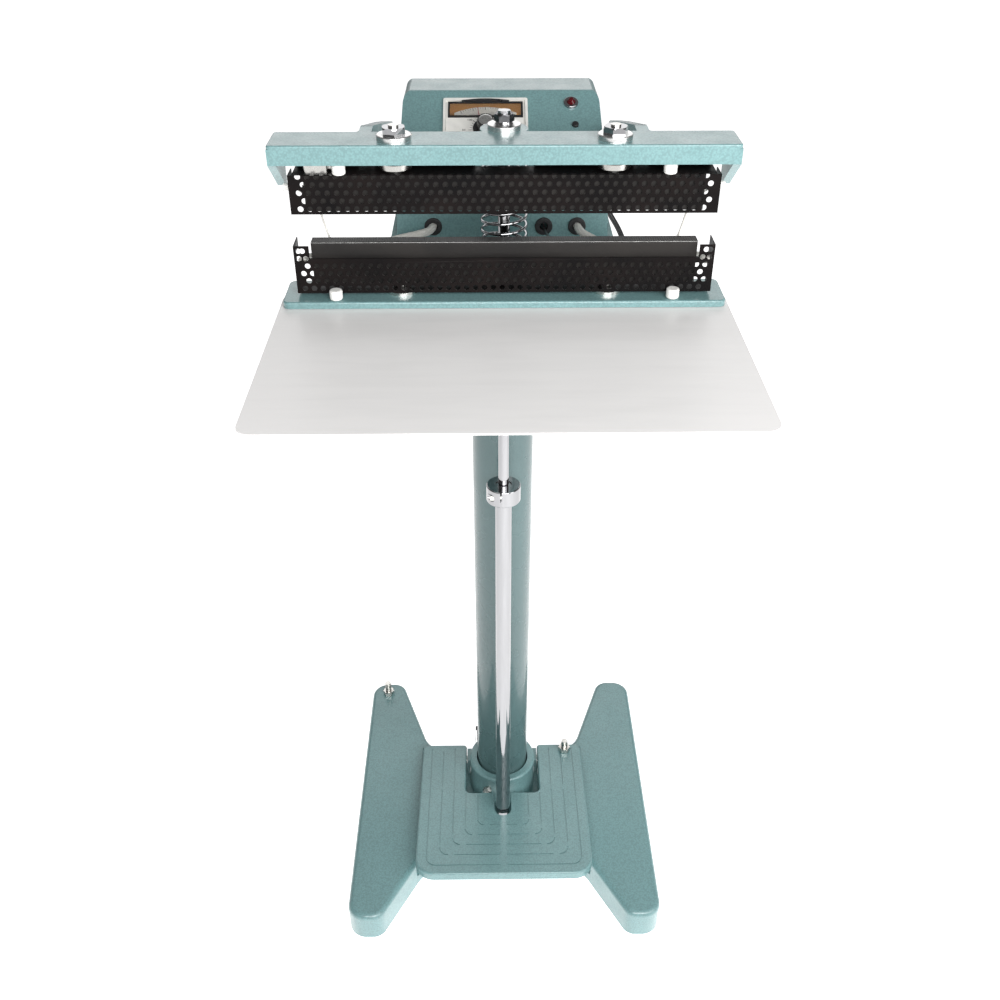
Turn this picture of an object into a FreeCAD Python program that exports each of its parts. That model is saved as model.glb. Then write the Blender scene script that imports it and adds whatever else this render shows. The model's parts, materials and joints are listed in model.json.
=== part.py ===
"""Foot-operated constant-heat bag sealer on a column stand, in millimetres.

Origin on the floor under the column's axis; +X right seen from the front, +Y to the rear, +Z up.
"""
import FreeCAD, Part
import math
import os

V = FreeCAD.Vector
X_AXIS = V(1, 0, 0)
Y_AXIS = V(0, 1, 0)
Z_AXIS = V(0, 0, 1)
ORIGIN = V(0, 0, 0)

# ---- driving dimensions -------------------------------------------------------------------------
COLUMN_R = 30.0
COLUMN_TOP = 705.5
SOCKET_R = 40.0
SOCKET_TOP = 70.0
SOCKET_BORE_R = 31.4
FLOOR_PLATE_TOP = 24.0

LEG_TOP = 37.0
LEG_OUT = 174.6
LEG_WALL = 7.0
LEG_ROOT = 46.0
WING_TOP = 12.0

PEDAL_HALF = 100.0
PEDAL_FRONT = -168.0
PEDAL_REAR = 34.0
PEDAL_TOP_REAR = 52.0
PEDAL_PLATE = 7.0
PEDAL_TILT = 4.2
PEDAL_AXIS = V(0, 22, 36)
PEDAL_NOTCH_HALF = 44.6
STOP_STUD = V(79, 23, 20)
PEDAL_NOTCH_END = -47.0
GROOVE_PITCH = 14.5
GROOVE_COUNT = 5

ROD_TOP = V(0, -45, 848.5)
ROD_FOOT = V(0, -72, 44)
ROD_R = 5.0
TUBE_R = 8.0
COLLAR_TOP_Z = 515.0

DECK_TOP = 722.0
DECK_HALF = 102.6
STRIP_HALF = 180.5
STRIP_FRONT = -98.0
TABLE_HALF = 183.5
TABLE_FRONT = -293.0
TABLE_TOP = 716.0

JAW_HALF = 155.0
LOWER_JAW_FRONT = -80.0
LOWER_JAW_REAR = -68.0
LOWER_JAW_TOP = 765.5
CLOTH = 0.3
STUD_X = 84.5
STUD_Y = -73.5

ARM_AXIS = V(0, 170, 755)
CLOSE_ANGLE = 6.03
UPPER_JAW_FRONT = -85.5
UPPER_JAW_REAR = -67.0
BEAM_HALF = 180.0
BEAM_FRONT = -90.0
BEAM_REAR = -52.0
BEAM_TOP = 845.0
BEAM_LIP = 830.0
BEAM_WALL = 5.0
ARM_IN = 103.5
ARM_OUT = 113.5
PIVOT_R = 6.0
RUNNING_FIT = 0.05

GUARD_SHEET = 0.8
GUARD_PITCH = 7.3
GUARD_HOLE_R = 2.3

SPRING_Y = -45.5
SPRING_R = 18.5
SPRING_WIRE_R = 1.2
SPRING_TURNS = 14

BOX_FRONT = 35.0
BOX_REAR = 184.0
BOX_BOTTOM_Z = 722.3
BOX_LOW_HALF = 96.0
BOX_TOP_HALF = 91.5
BOX_TOP_Z = 829.0
PANEL_FOOT_Z = 770.0
PANEL_TOP_Y = 140.0
BOX_SHEET = 1.5
GROMMET_X = (-62.7, 37.4, 67.5)
GROMMET_Z = 736.0

CORD_R = 3.0
COIL_Y = 76.0
COIL_MEAN_R = 30.0
COIL_TURNS = 5


# ---- helpers ------------------------------------------------------------------------------------
def block(x0, x1, y0, y1, z0, z1):
    return Part.makeBox(x1 - x0, y1 - y0, z1 - z0, V(x0, y0, z0))


def cylinder(base, radius, height, axis=Z_AXIS):
    return Part.makeCylinder(radius, height, base, axis)


def ring(base, outer, inner, height, axis=Z_AXIS):
    return cylinder(base, outer, height, axis).cut(cylinder(base, inner, height, axis))


def hexagon(base, across_flats, height, axis=Z_AXIS):
    """Hexagonal prism standing on base along axis."""
    corner = across_flats / math.sqrt(3)
    points = [V(corner * math.cos(k * math.pi / 3), corner * math.sin(k * math.pi / 3), 0) for k in range(7)]
    prism = Part.Face(Part.makePolygon(points)).extrude(V(0, 0, height))
    chamfer = Part.makeCone(corner * 1.02, corner * 1.02 - height * 0.2, height)
    prism = prism.common(chamfer.fuse(cylinder(ORIGIN, corner * 1.02, height * 0.8)))
    return place(prism, base, axis)


def place(shape, base, axis):
    """Turn a shape built along +Z to point along axis, then move its origin to base."""
    placed = shape.copy()
    turn = FreeCAD.Rotation(Z_AXIS, axis)
    placed.Placement = FreeCAD.Placement(base, turn).multiply(placed.Placement)
    return placed


def fused(solids):
    solids = list(solids)
    result = solids[0].multiFuse(solids[1:]) if len(solids) > 1 else solids[0]
    return result.removeSplitter()


def group(solids):
    return Part.makeCompound(list(solids))


def mirrored(shape):
    return shape.mirror(ORIGIN, X_AXIS)


def both_sides(shape):
    return group([shape, mirrored(shape)])


def corner_arc(before, point, after, radius):
    """Arc tangent to both runs at point, with its two ends."""
    back = (before - point).normalize()
    ahead = (after - point).normalize()
    half = back.getAngle(ahead) / 2
    reach = radius / math.tan(half)
    start = point + back * reach
    end = point + ahead * reach
    middle = point + (back + ahead).normalize() * (radius / math.sin(half) - radius)
    return start, middle, end


def outline(points, radii):
    """Closed wire through points, each corner rounded by its radius (0 leaves it sharp)."""
    count = len(points)
    corners = []
    for k in range(count):
        if radii[k] > 0:
            corners.append(corner_arc(points[k - 1], points[k], points[(k + 1) % count], radii[k]))
        else:
            corners.append((points[k], None, points[k]))
    edges = []
    for k in range(count):
        start, middle, end = corners[k]
        if middle is not None:
            edges.append(Part.Arc(start, middle, end).toShape())
        following = corners[(k + 1) % count][0]
        if (following - end).Length > 1e-6:
            edges.append(Part.LineSegment(end, following).toShape())
    return Part.Wire(edges)


def plate_xy(points, radii, z0, z1):
    """Plate with a plan outline, from z0 up to z1."""
    wire = outline([V(x, y, z0) for x, y in points], radii)
    return Part.Face(wire).extrude(V(0, 0, z1 - z0))


def plate_yz(points, radii, x0, x1):
    """Plate with a side-view outline, from x0 to x1."""
    wire = outline([V(x0, y, z) for y, z in points], radii)
    return Part.Face(wire).extrude(V(x1 - x0, 0, 0))


def rounded_block(x0, x1, y0, y1, z0, z1, radius):
    return plate_xy([(x0, y0), (x1, y0), (x1, y1), (x0, y1)], [radius] * 4, z0, z1)


def soften(shape, radius, chosen):
    """Fillet the edges that chosen(edge) picks."""
    edges = [edge for edge in shape.Edges if chosen(edge)]
    return shape.makeFillet(radius, edges) if edges else shape


def lies_at(z, tolerance=0.01):
    """Edge test: the whole edge lies at height z."""
    def test(edge):
        box = edge.BoundBox
        return abs(box.ZMin - z) < tolerance and abs(box.ZMax - z) < tolerance
    return test


def hex_screw(base, axis, shank_r, length, flats, head):
    """Screw whose head sits on base; the shank runs back along minus axis."""
    shank = cylinder(base - axis * length, shank_r, length + 1, axis)
    return fused([hexagon(base, flats, head, axis), shank])


def dome_screw(base, axis, shank_r, length, head_r):
    """Pan-head screw with a cross recess."""
    dome = Part.makeSphere(head_r * 1.25, V(0, 0, -head_r * 0.75))
    head = dome.common(cylinder(ORIGIN, head_r, head_r))
    shank = cylinder(V(0, 0, -length), shank_r, length + 0.2)
    slots = [block(-head_r * 0.6, head_r * 0.6, -0.35, 0.35, head_r * 0.25, head_r),
             block(-0.35, 0.35, -head_r * 0.6, head_r * 0.6, head_r * 0.25, head_r)]
    return place(fused([head, shank]).cut(fused(slots)), base, axis)


# ---- base ---------------------------------------------------------------------------------------
def leg_outline(inset):
    """Plan of the right leg: long straight outer edge, two round tips and a root beside the socket."""
    points = [(LEG_OUT - inset, -201 + inset), (LEG_OUT - inset, 161 - inset), (134 + inset * 0.8, 161 - inset),
              (95.5 + inset * 0.9, 52), (LEG_ROOT + inset, 20 - inset), (LEG_ROOT + inset, -62 + inset),
              (99 + inset * 0.8, -129), (138 + inset * 0.6, -201 + inset)]
    tip = 20 - inset * 0.9
    return points, [tip, tip, min(tip, 17), 34, 3, 3, 34, min(tip, 15)]


def leg_right():
    """Cast leg: rounded top edge, dipped under the pedal, hollow from below outside the dip."""
    points, radii = leg_outline(0)
    leg = soften(plate_xy(points, radii, 0, LEG_TOP), 6.0, lies_at(LEG_TOP))
    dip = outline([V(LEG_ROOT - 5, 0, WING_TOP), V(PEDAL_HALF + 1.2, 0, WING_TOP),
                   V(PEDAL_HALF + 1.6, 0, LEG_TOP + 1), V(LEG_ROOT - 5, 0, LEG_TOP + 1)], [0, 3, 0, 0])
    dip = Part.Face(dip).extrude(V(0, 208, 0))
    dip.translate(V(0, -166, 0))
    points, radii = leg_outline(LEG_WALL)
    core = plate_xy(points, radii, -1, LEG_TOP - 6).common(block(112, 200, -300, 300, -2, LEG_TOP))
    lug = block(LEG_ROOT, LEG_ROOT + 8, -55, 12, 0.5, FLOOR_PLATE_TOP)
    leg = leg.cut(dip).cut(core).fuse(lug)
    wells = [block(spot.x, spot.x + 7, spot.y - 8.5, spot.y + 8.5, 3.5, LEG_TOP) for spot in leg_bolt_spots()]
    return leg.cut(leg_bolt_holes()).cut(group(wells))


def leg_bolt_spots():
    return [V(LEG_ROOT + 8, y, 12) for y in (-44, 2)]


def leg_bolt_holes():
    return group([cylinder(spot - X_AXIS * 22, 4.0, 60, X_AXIS) for spot in leg_bolt_spots()])


def leg_left():
    leg = mirrored(leg_right())
    return leg.cut(cylinder(V(-153, 141, -1), 4.0, LEG_TOP + 2))


def leg_bolts():
    bolts = [hex_screw(spot, X_AXIS, 4.0, 20, 13, 5.5) for spot in leg_bolt_spots()]
    return both_sides(group(bolts))


def column_socket():
    """Hub on a floor plate between the legs, with two ears that carry the pedal."""
    plate = rounded_block(-45.7, 45.7, -58, 38, 0, FLOOR_PLATE_TOP, 4)
    hub = soften(cylinder(ORIGIN, SOCKET_R, SOCKET_TOP), 3.0, lies_at(SOCKET_TOP))
    ear = block(30, 43.9, 12, 32, FLOOR_PLATE_TOP - 2, 47)
    body = fused([plate, hub, ear, mirrored(ear)])
    bore = cylinder(V(0, 0, 12), SOCKET_BORE_R, SOCKET_TOP)
    seat = cylinder(V(0, 0, -1), 22, 20)
    pins = cylinder(V(-44, PEDAL_AXIS.y, PEDAL_AXIS.z), PIVOT_R, 88, X_AXIS)
    tapped = [cylinder(V(side * 26, y, 12), 4.0, 21, X_AXIS * side) for side in (1, -1) for y in (-44, 2)]
    body = body.cut(fused([bore, seat])).cut(pins).cut(group(tapped))
    lock = lock_screw_axis(52)
    return body.cut(cylinder(lock[0], 4.0, 14, lock[1]))


def lock_screw_axis(z):
    """Start at the column's face and outward direction of the lock screw at the front left."""
    direction = V(-0.42, -0.9, 0).normalize()
    return direction * (COLUMN_R + 0.1) + V(0, 0, z), direction


def hub_screw_axis():
    """The same for the lock screw of the head, at the rear right between two ribs."""
    direction = V(0.7, 0.7, 0).normalize()
    return direction * (COLUMN_R + 0.1) + V(0, 0, 664), direction


def column_lock_screws():
    screws = []
    for (start, direction), length in ((lock_screw_axis(52), 13), (hub_screw_axis(), 12)):
        screws.append(hex_screw(start + direction * length, direction, 4.0, length, 10, 4))
    return group(screws)


def column_tube():
    return ring(V(0, 0, 12.1), COLUMN_R, COLUMN_R - 2.5, COLUMN_TOP - 12.1)


def stud_with_slot(base, radius, height):
    """Threaded stud with fine ridges and a domed end."""
    stud = cylinder(base, radius - 0.35, height)
    ridges = [ring(base + V(0, 0, height - 1.6 - k * 1.25), radius, radius - 0.5, 0.6) for k in range(8)]
    return fused([stud] + ridges)


def levelling_stud():
    return stud_with_slot(V(-153, 141, 0), 4.0, 57)


def levelling_nut():
    base = V(-153, 141, LEG_TOP)
    return hexagon(base, 13, 6.5).cut(cylinder(base - Z_AXIS, 4.0, 9))


# ---- pedal --------------------------------------------------------------------------------------
def tilt_pedal(shape):
    """Pedal shapes are drawn flat with their top at z = 0, then lifted and tipped front up."""
    placed = shape.copy()
    placed.translate(V(0, 0, PEDAL_TOP_REAR))
    placed.rotate(V(0, PEDAL_REAR, PEDAL_TOP_REAR), X_AXIS, -PEDAL_TILT)
    return placed


def pedal_plan(inset, z0, z1):
    half = PEDAL_HALF - inset
    front = PEDAL_FRONT + inset
    rear = PEDAL_REAR - inset
    notch = PEDAL_NOTCH_HALF + inset
    end = PEDAL_NOTCH_END - inset
    points = [(-half, front), (half, front), (half, rear), (notch, rear), (notch, end), (-notch, end),
              (-notch, rear), (-half, rear)]
    radii = [22 - inset, 22 - inset, 8, 4, 7, 7, 4, 8]
    return plate_xy(points, radii, z0, z1)


def groove_dash(x0, x1, y0, y1):
    return block(x0, x1, y0, y1, -0.9, 1)


def pedal_grooves():
    """Nested U-shaped grooves, broken into dashes."""
    cutters = []
    width = 1.3
    for k in range(GROOVE_COUNT):
        inset = 12 + GROOVE_PITCH * k
        x = PEDAL_HALF - inset
        front = PEDAL_FRONT + inset
        bend = 11 - k
        rear = PEDAL_NOTCH_END - 5 - 4 * (k - 4)
        if x > PEDAL_NOTCH_HALF + 4:
            rear = PEDAL_REAR - 7 - (6 if k % 2 else 0)
        breaks = (-36, -44) if x > PEDAL_NOTCH_HALF + 4 and k else (0, 0)
        lower = front + bend + (0 if k == 0 else 7)
        spans = [(lower, rear)] if breaks == (0, 0) else [(breaks[0], rear), (lower, breaks[1])]
        for y0, y1 in spans:
            cutters.append(groove_dash(x - width / 2, x + width / 2, y0, y1))
        turn = ring(V(x - bend, front + bend, -0.9), bend + width / 2, bend - width / 2, 2)
        cutters.append(turn.common(block(x - bend, x + 5, front - 5, front + bend, -1, 1)))
        reach = x - bend - (0 if k == 0 else 7)
        if reach > 8:
            cutters.append(groove_dash(4, reach, front - width / 2, front + width / 2))
    half = group(cutters)
    return [half, mirrored(half)]


def pedal():
    plate = soften(pedal_plan(0, -10, 0), 2.2, lies_at(0))
    body = plate.cut(pedal_plan(5, -11, -PEDAL_PLATE))
    slot = fused([block(-10, 10, -74, PEDAL_NOTCH_END + 8, -12, 1), cylinder(V(0, -74, -12), 10, 13)])
    body = body.cut(slot)
    for cutters in pedal_grooves():
        body = body.cut(cutters)
    body = tilt_pedal(body)
    hinge_ears = []
    rod_ears = []
    for side in (1, -1):
        ear = cylinder(V(side * 44.7, PEDAL_AXIS.y, PEDAL_AXIS.z), 9.5, 15, X_AXIS * side)
        web = block(min(side * 44.7, side * 59.7), max(side * 44.7, side * 59.7), 12.5, 31.5, 36, 47)
        hinge_ears += [ear, web]
        cheek = cylinder(V(side * 10.5, ROD_FOOT.y, ROD_FOOT.z), 8.0, 7, X_AXIS * side)
        rib = block(min(side * 10.5, side * 17.5), max(side * 10.5, side * 17.5), -80, -64, 44, 54.5)
        rod_ears += [cheek, rib]
    body = fused([body] + hinge_ears + rod_ears)
    body = body.cut(cylinder(V(-70, PEDAL_AXIS.y, PEDAL_AXIS.z), PIVOT_R + RUNNING_FIT, 140, X_AXIS))
    body = body.cut(cylinder(V(-20, ROD_FOOT.y, ROD_FOOT.z), 4.0, 40, X_AXIS))
    return body.cut(cylinder(STOP_STUD, 4.0, 60))


def pedal_pins():
    pin = cylinder(V(34, PEDAL_AXIS.y, PEDAL_AXIS.z), PIVOT_R, 28, X_AXIS)
    clip = ring(V(60.2, PEDAL_AXIS.y, PEDAL_AXIS.z), 9, PIVOT_R, 1.2, X_AXIS)
    return both_sides(pin.fuse(clip))


def rod_foot_pin():
    return soften(cylinder(V(-18.5, ROD_FOOT.y, ROD_FOOT.z), 4.0, 37, X_AXIS), 0.8, lambda e: e.Closed)


def pedal_stop_stud():
    return stud_with_slot(STOP_STUD, 4.0, 50)


def pedal_stop_nut():
    base = V(STOP_STUD.x, STOP_STUD.y, PEDAL_TOP_REAR + 1.9)
    return hexagon(base, 13, 6).cut(cylinder(base - Z_AXIS, 4.0, 9))


# ---- pull rod -----------------------------------------------------------------------------------
def along_rod(shape):
    """Shapes of the rod are drawn with the rod's axis on +Z and its top pivot at the origin."""
    return place(shape, ROD_TOP, ROD_TOP - ROD_FOOT)


def rod_depth(z):
    """Distance along the rod from its top pivot down to height z, as a negative local height."""
    return (z - ROD_TOP.z) * (ROD_TOP - ROD_FOOT).Length / (ROD_TOP.z - ROD_FOOT.z)


def pull_rod():
    """Solid rod with a ball washer at its pivot and a threaded end above."""
    bottom = rod_depth(400)
    rod = cylinder(V(0, 0, bottom), ROD_R, -bottom + 10.4)
    ball = Part.makeSphere(7.0).common(cylinder(V(0, 0, -7), 7, 9.4))
    ridges = [ring(V(0, 0, 8.5 + 0.9 * k), 5.3, 4.6, 0.45) for k in range(2)]
    return along_rod(fused([rod, ball] + ridges))


def pull_rod_nut():
    return along_rod(hexagon(V(0, 0, 2.4), 14, 5.6).cut(cylinder(V(0, 0, 1), 5.0, 12)))


def pull_tube():
    """Tube over the rod's lower end, with a flat eye for the pedal's pin."""
    top = rod_depth(COLLAR_TOP_Z - 1)
    foot = -(ROD_TOP - ROD_FOOT).Length
    tube = ring(V(0, 0, foot + 12), TUBE_R, ROD_R + RUNNING_FIT, top - foot - 12)
    eye = cylinder(V(-6, 0, foot), 8.0, 12, X_AXIS)
    neck = cylinder(V(0, 0, foot), TUBE_R, 14).common(block(-6, 6, -8, 8, foot, foot + 14))
    cap = cylinder(V(0, 0, foot + 10), TUBE_R, 4)
    body = fused([tube, eye, neck, cap]).cut(cylinder(V(-10, 0, foot), 4.9, 20, X_AXIS))
    return along_rod(body)


def collar_screw_line():
    return V(-16, -10.4, rod_depth(COLLAR_TOP_Z) - 8.5)


def rod_collar():
    """Split clamp collar with its slit towards the front left."""
    top = rod_depth(COLLAR_TOP_Z)
    collar = ring(V(0, 0, top - 17), 16.5, TUBE_R, 17)
    collar = soften(collar, 1.2, lambda e: e.Closed and abs(e.BoundBox.XLength - 33) < 0.1)
    slit = block(-3.4, -1.8, -20, -5, top - 20, top + 2)
    seat = cylinder(collar_screw_line(), 3.8, 7, X_AXIS)
    hole = cylinder(collar_screw_line(), 2.0, 24, X_AXIS)
    return along_rod(collar.cut(slit).cut(seat).cut(hole))


def collar_screw():
    line = collar_screw_line() + V(3, 0, 0)
    head = cylinder(line, 3.4, 4, X_AXIS).cut(hexagon(line, 3, 2.5, X_AXIS))
    return along_rod(fused([head, cylinder(line + V(4, 0, 0), 2.0, 14, X_AXIS)]))


# ---- head frame and table -----------------------------------------------------------------------
def rod_slot(z0, z1):
    return rounded_block(-6.8, 6.8, -63, -41.5, z0, z1, 6.7)


def head_frame():
    """Casting with the front strip, the deck, the column hub, its ribs and the two pivot lugs."""
    strip = rounded_block(-STRIP_HALF, STRIP_HALF, STRIP_FRONT, -52, 716.5, DECK_TOP, 6)
    strip = soften(strip, 1.6, lies_at(DECK_TOP))
    deck = rounded_block(-DECK_HALF, DECK_HALF, -56, 190, 716.5, DECK_TOP, 5)
    hub = cylinder(V(0, 0, 640), 39, 78)
    rib_corners = [V(30, -3, 717), V(94, -3, 717), V(37, -3, 648), V(30, -3, 648)]
    side_rib = Part.Face(outline(rib_corners, [0, 0, 6, 0]))
    side_rib = side_rib.extrude(V(0, 6, 0))
    rear_rib = plate_yz([(30, 717), (175, 717), (37, 648), (30, 648)], [0, 0, 6, 0], -3, 3)
    lug = plate_yz([(146, 721), (194 - 4, 721), (187, 762), (180, 771), (158, 771), (152, 758)],
                   [0, 0, 8, 9, 9, 8], 97, DECK_HALF)
    body = fused([strip, deck, hub, side_rib, mirrored(side_rib), rear_rib, lug, mirrored(lug)])
    bore = cylinder(V(0, 0, 630), COLUMN_R + 0.02, COLUMN_TOP - 630)
    pivots = cylinder(V(-110, ARM_AXIS.y, ARM_AXIS.z), PIVOT_R, 220, X_AXIS)
    lock = hub_screw_axis()
    body = body.cut(bore).cut(pivots).cut(cylinder(lock[0], 4.0, 14, lock[1])).cut(rod_slot(700, 730))
    screws = [cylinder(spot, 2.0, 4.2) for spot in table_screw_spots()]
    studs = [cylinder(V(side * STUD_X, STUD_Y, 710), 4.0, 20) for side in (1, -1)]
    return body.cut(group(screws + studs))


def table_screw_spots():
    return [V(side * x, -84, 716) for side in (1, -1) for x in (50, 150)]


def work_table():
    table = rounded_block(-TABLE_HALF, TABLE_HALF, TABLE_FRONT, -66, TABLE_TOP - 1.5, TABLE_TOP, 12)
    holes = [cylinder(spot - V(0, 0, 4), 2.3, 8) for spot in table_screw_spots()]
    studs = [cylinder(V(side * STUD_X, STUD_Y, 710), 9.0, 10) for side in (1, -1)]
    spacer = block(-TABLE_HALF + 6, TABLE_HALF - 6, -96, -70, TABLE_TOP - 0.1, TABLE_TOP + 0.5)
    return table.fuse(spacer).cut(group(holes + studs)).removeSplitter()


def pan_screws():
    """Table screws from below and rear-cover screws, all the same size."""
    table = [dome_screw(V(s.x, s.y, TABLE_TOP - 1.5), V(0, 0, -1), 2.0, 5.5, 3.8)
             for s in table_screw_spots()]
    cover = [dome_screw(V(x, BOX_REAR + BOX_SHEET, z), Y_AXIS, 2.0, 7, 3.8) for x, z in cover_screw_spots()]
    return group(table + cover)


def cover_screw_spots():
    return [(side * x, z) for side in (1, -1) for x, z in ((87, 731), (84, 814))]


# ---- lower jaw ----------------------------------------------------------------------------------
def lower_heater_block():
    bar = block(-JAW_HALF, JAW_HALF, LOWER_JAW_FRONT, LOWER_JAW_REAR, 730, LOWER_JAW_TOP)
    tunnel = cylinder(V(-JAW_HALF, -74, 748), 3.1, 2 * JAW_HALF, X_AXIS)
    holes = [cylinder(V(side * STUD_X, STUD_Y, 729), 4.0, 9) for side in (1, -1)]
    return bar.cut(tunnel).cut(group(holes))


def heater_rod(y, z):
    sheath = cylinder(V(-JAW_HALF - 3, y, z), 3.0, 2 * JAW_HALF + 6, X_AXIS)
    tips = [cylinder(V(side * (JAW_HALF + 3), y, z), 1.3, 2.5, X_AXIS * side) for side in (1, -1)]
    return fused([sheath] + tips)


def lower_heater_rod():
    return heater_rod(-74, 748)


def lower_cloth():
    """Thin release cloth over the bar: down the front, over the top and part way down the back."""
    gap = 0.05
    half = JAW_HALF + 0.3
    over = block(-half, half, LOWER_JAW_FRONT - gap - CLOTH, LOWER_JAW_REAR + gap + CLOTH, 729,
                 LOWER_JAW_TOP + gap + CLOTH)
    under = block(-half - 1, half + 1, LOWER_JAW_FRONT - gap, LOWER_JAW_REAR + gap, 728, LOWER_JAW_TOP + gap)
    tail = block(-half - 1, half + 1, LOWER_JAW_REAR - 1, LOWER_JAW_REAR + 2, 728, 742)
    return over.cut(under).cut(tail)


def perforations(x0, x1, z0, rows, y):
    """Staggered round holes through a sheet that faces -Y."""
    row_step = GUARD_PITCH * math.sin(math.pi / 3)
    count = int((x1 - x0) / GUARD_PITCH)
    start = (x0 + x1 - (count - 0.5) * GUARD_PITCH) / 2
    holes = []
    for row in range(rows):
        shift = GUARD_PITCH / 2 if row % 2 else 0
        for k in range(count):
            spot = V(start + shift + k * GUARD_PITCH, y - 3, z0 + row * row_step)
            holes.append(cylinder(spot, GUARD_HOLE_R, 6, Y_AXIS))
    return holes


def end_perforations(x, y0, columns, z0, rows):
    """The same hole pattern through both end flanges, which face along X."""
    row_step = GUARD_PITCH * math.sin(math.pi / 3)
    holes = []
    for row in range(rows):
        shift = GUARD_PITCH / 2 if row % 2 else 0
        for k in range(columns):
            holes.append(cylinder(V(-x - 3, y0 + shift + k * GUARD_PITCH, z0 + row * row_step), GUARD_HOLE_R,
                                  2 * x + 6, X_AXIS))
    return holes


def lower_guard():
    """Perforated sheet in front of the lower bar, raised and bent back at its ends, flanged below."""
    x, y, low, high, tab = 169.0, -85.0, 724.6, 754.0, 764.5
    t = GUARD_SHEET
    front = block(-x, x, y, y + t, low, high)
    raised = block(JAW_HALF + 1.5, x, y, y + t, high - 1, tab)
    foot = block(-x, x, y, -68, low, low + t)
    right = block(x - t, x, y, -64, low, tab)
    left = block(-x, -x + t, y, -64, low, tab).cut(block(-x - 1, -x + 2, -76, -63, 741, 757))
    body = fused([front, foot, right, left, raised, mirrored(raised)])
    holes = perforations(-x + 4, x - 4, low + 4.2, 4, y) + end_perforations(x, -79.5, 2, low + 4.2, 4)
    row_step = GUARD_PITCH * math.sin(math.pi / 3)
    holes += [cylinder(V(side * column, y - 3, low + 4.2 + row_step * row), GUARD_HOLE_R, 6, Y_AXIS)
              for side in (1, -1) for row in (4, 5) for column in (159.6 + 2.4 * (row - 4), 165.2)]
    studs = [cylinder(V(side * STUD_X, STUD_Y, 720), 4.2, 10) for side in (1, -1)]
    return body.cut(group(holes)).cut(group(studs))


def lower_jaw_studs():
    """Studs up from the deck with the round washers under the guard and spacers over it."""
    parts = []
    for side in (1, -1):
        foot = V(side * STUD_X, STUD_Y, DECK_TOP)
        stud = cylinder(foot - V(0, 0, 8), 4.0, 24)
        washer = cylinder(foot, 13.5, 2.6)
        spacer = cylinder(foot + V(0, 0, 3.4), 7.0, 4.6)
        nut = hexagon(foot - V(0, 0, 12), 13, 6)
        parts.append(fused([stud, washer, spacer, nut]))
    return group(parts)


def ceramic_peg(base, radius, height):
    return soften(cylinder(base, radius, height), 1.6, lambda e: e.Closed)


def lower_ceramic_pegs():
    return both_sides(ceramic_peg(V(137, -91.2, DECK_TOP), 5.4, 8.2))


# ---- upper arm ----------------------------------------------------------------------------------
def arm_plan_web():
    """Concave web in the outer corner between an arm and the beam's rear edge."""
    corner = block(ARM_OUT - 2, ARM_OUT + 14, BEAM_REAR - 2, BEAM_REAR + 14, 826, BEAM_TOP - 2)
    return corner.cut(cylinder(V(ARM_OUT + 14, BEAM_REAR + 14, 800), 14, 60))


def upper_arm():
    """One casting: inverted channel beam with sloped end plates, two arms and the rod boss."""
    solid = rounded_block(-BEAM_HALF, BEAM_HALF, BEAM_FRONT, BEAM_REAR, BEAM_LIP, BEAM_TOP, 3)
    hollow = block(-BEAM_HALF + 6.5, BEAM_HALF - 6.5, BEAM_FRONT + BEAM_WALL, BEAM_REAR - BEAM_WALL, 820,
                   BEAM_TOP - BEAM_WALL)
    end_profile = [(BEAM_FRONT, 842), (BEAM_FRONT, BEAM_LIP), (-57, 804), (BEAM_REAR, 807), (BEAM_REAR, 842)]
    end = plate_yz(end_profile, [0, 0, 3, 2, 0], BEAM_HALF - 6.5, BEAM_HALF)
    arm_profile = [(-60, 845), (-36, 845), (74, 818), (140, 801), (184, 770), (186, 748),
                   (170, 739), (154, 748), (120, 780), (70, 797), (-60, 823)]
    arm = plate_yz(arm_profile, [0, 30, 60, 40, 12, 12, 12, 12, 40, 60, 0], ARM_IN, ARM_OUT)
    boss = cylinder(V(0, ROD_TOP.y, BEAM_LIP), 19, BEAM_TOP - BEAM_LIP)
    web = arm_plan_web()
    body = solid.cut(hollow)
    body = fused([body, end, mirrored(end), arm, mirrored(arm), web, mirrored(web), boss])
    outer = lies_at(BEAM_TOP)
    body = soften(body, 1.4, lambda e: outer(e) and e.BoundBox.YMax < -51 and e.Length > 20)
    body = body.cut(cylinder(V(0, ROD_TOP.y, 820), 7.6, 30))
    body = body.cut(cylinder(V(-120, ARM_AXIS.y, ARM_AXIS.z), PIVOT_R + RUNNING_FIT, 240, X_AXIS))
    studs = [cylinder(V(side * STUD_X, STUD_Y, 820), 4.0, 30) for side in (1, -1)]
    return body.cut(group(studs))


def pivot_bolts():
    """Shoulder bolts through the arms into the head frame's lugs."""
    seat = V(ARM_OUT + 0.5, ARM_AXIS.y, ARM_AXIS.z)
    return both_sides(hex_screw(seat, X_AXIS, PIVOT_R, seat.x - 97.2, 17, 7))


def rod_disc():
    """Aluminium disc on the boss with a ball seat for the pull rod."""
    base = V(0, ROD_TOP.y, BEAM_TOP)
    disc = soften(cylinder(base, 13.25, 4.0), 0.8, lies_at(BEAM_TOP + 4.0))
    seat = Part.makeSphere(7.3, ROD_TOP)
    return disc.cut(seat).cut(cylinder(base - Z_AXIS, 6.9, 3))


def jaw_discs():
    discs = []
    for side in (1, -1):
        base = V(side * STUD_X, STUD_Y, BEAM_TOP)
        disc = soften(cylinder(base, 13.5, 4.2), 0.9, lies_at(BEAM_TOP + 4.2))
        discs.append(disc.cut(cylinder(base - Z_AXIS, 4.0, 8)))
    return group(discs)


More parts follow.
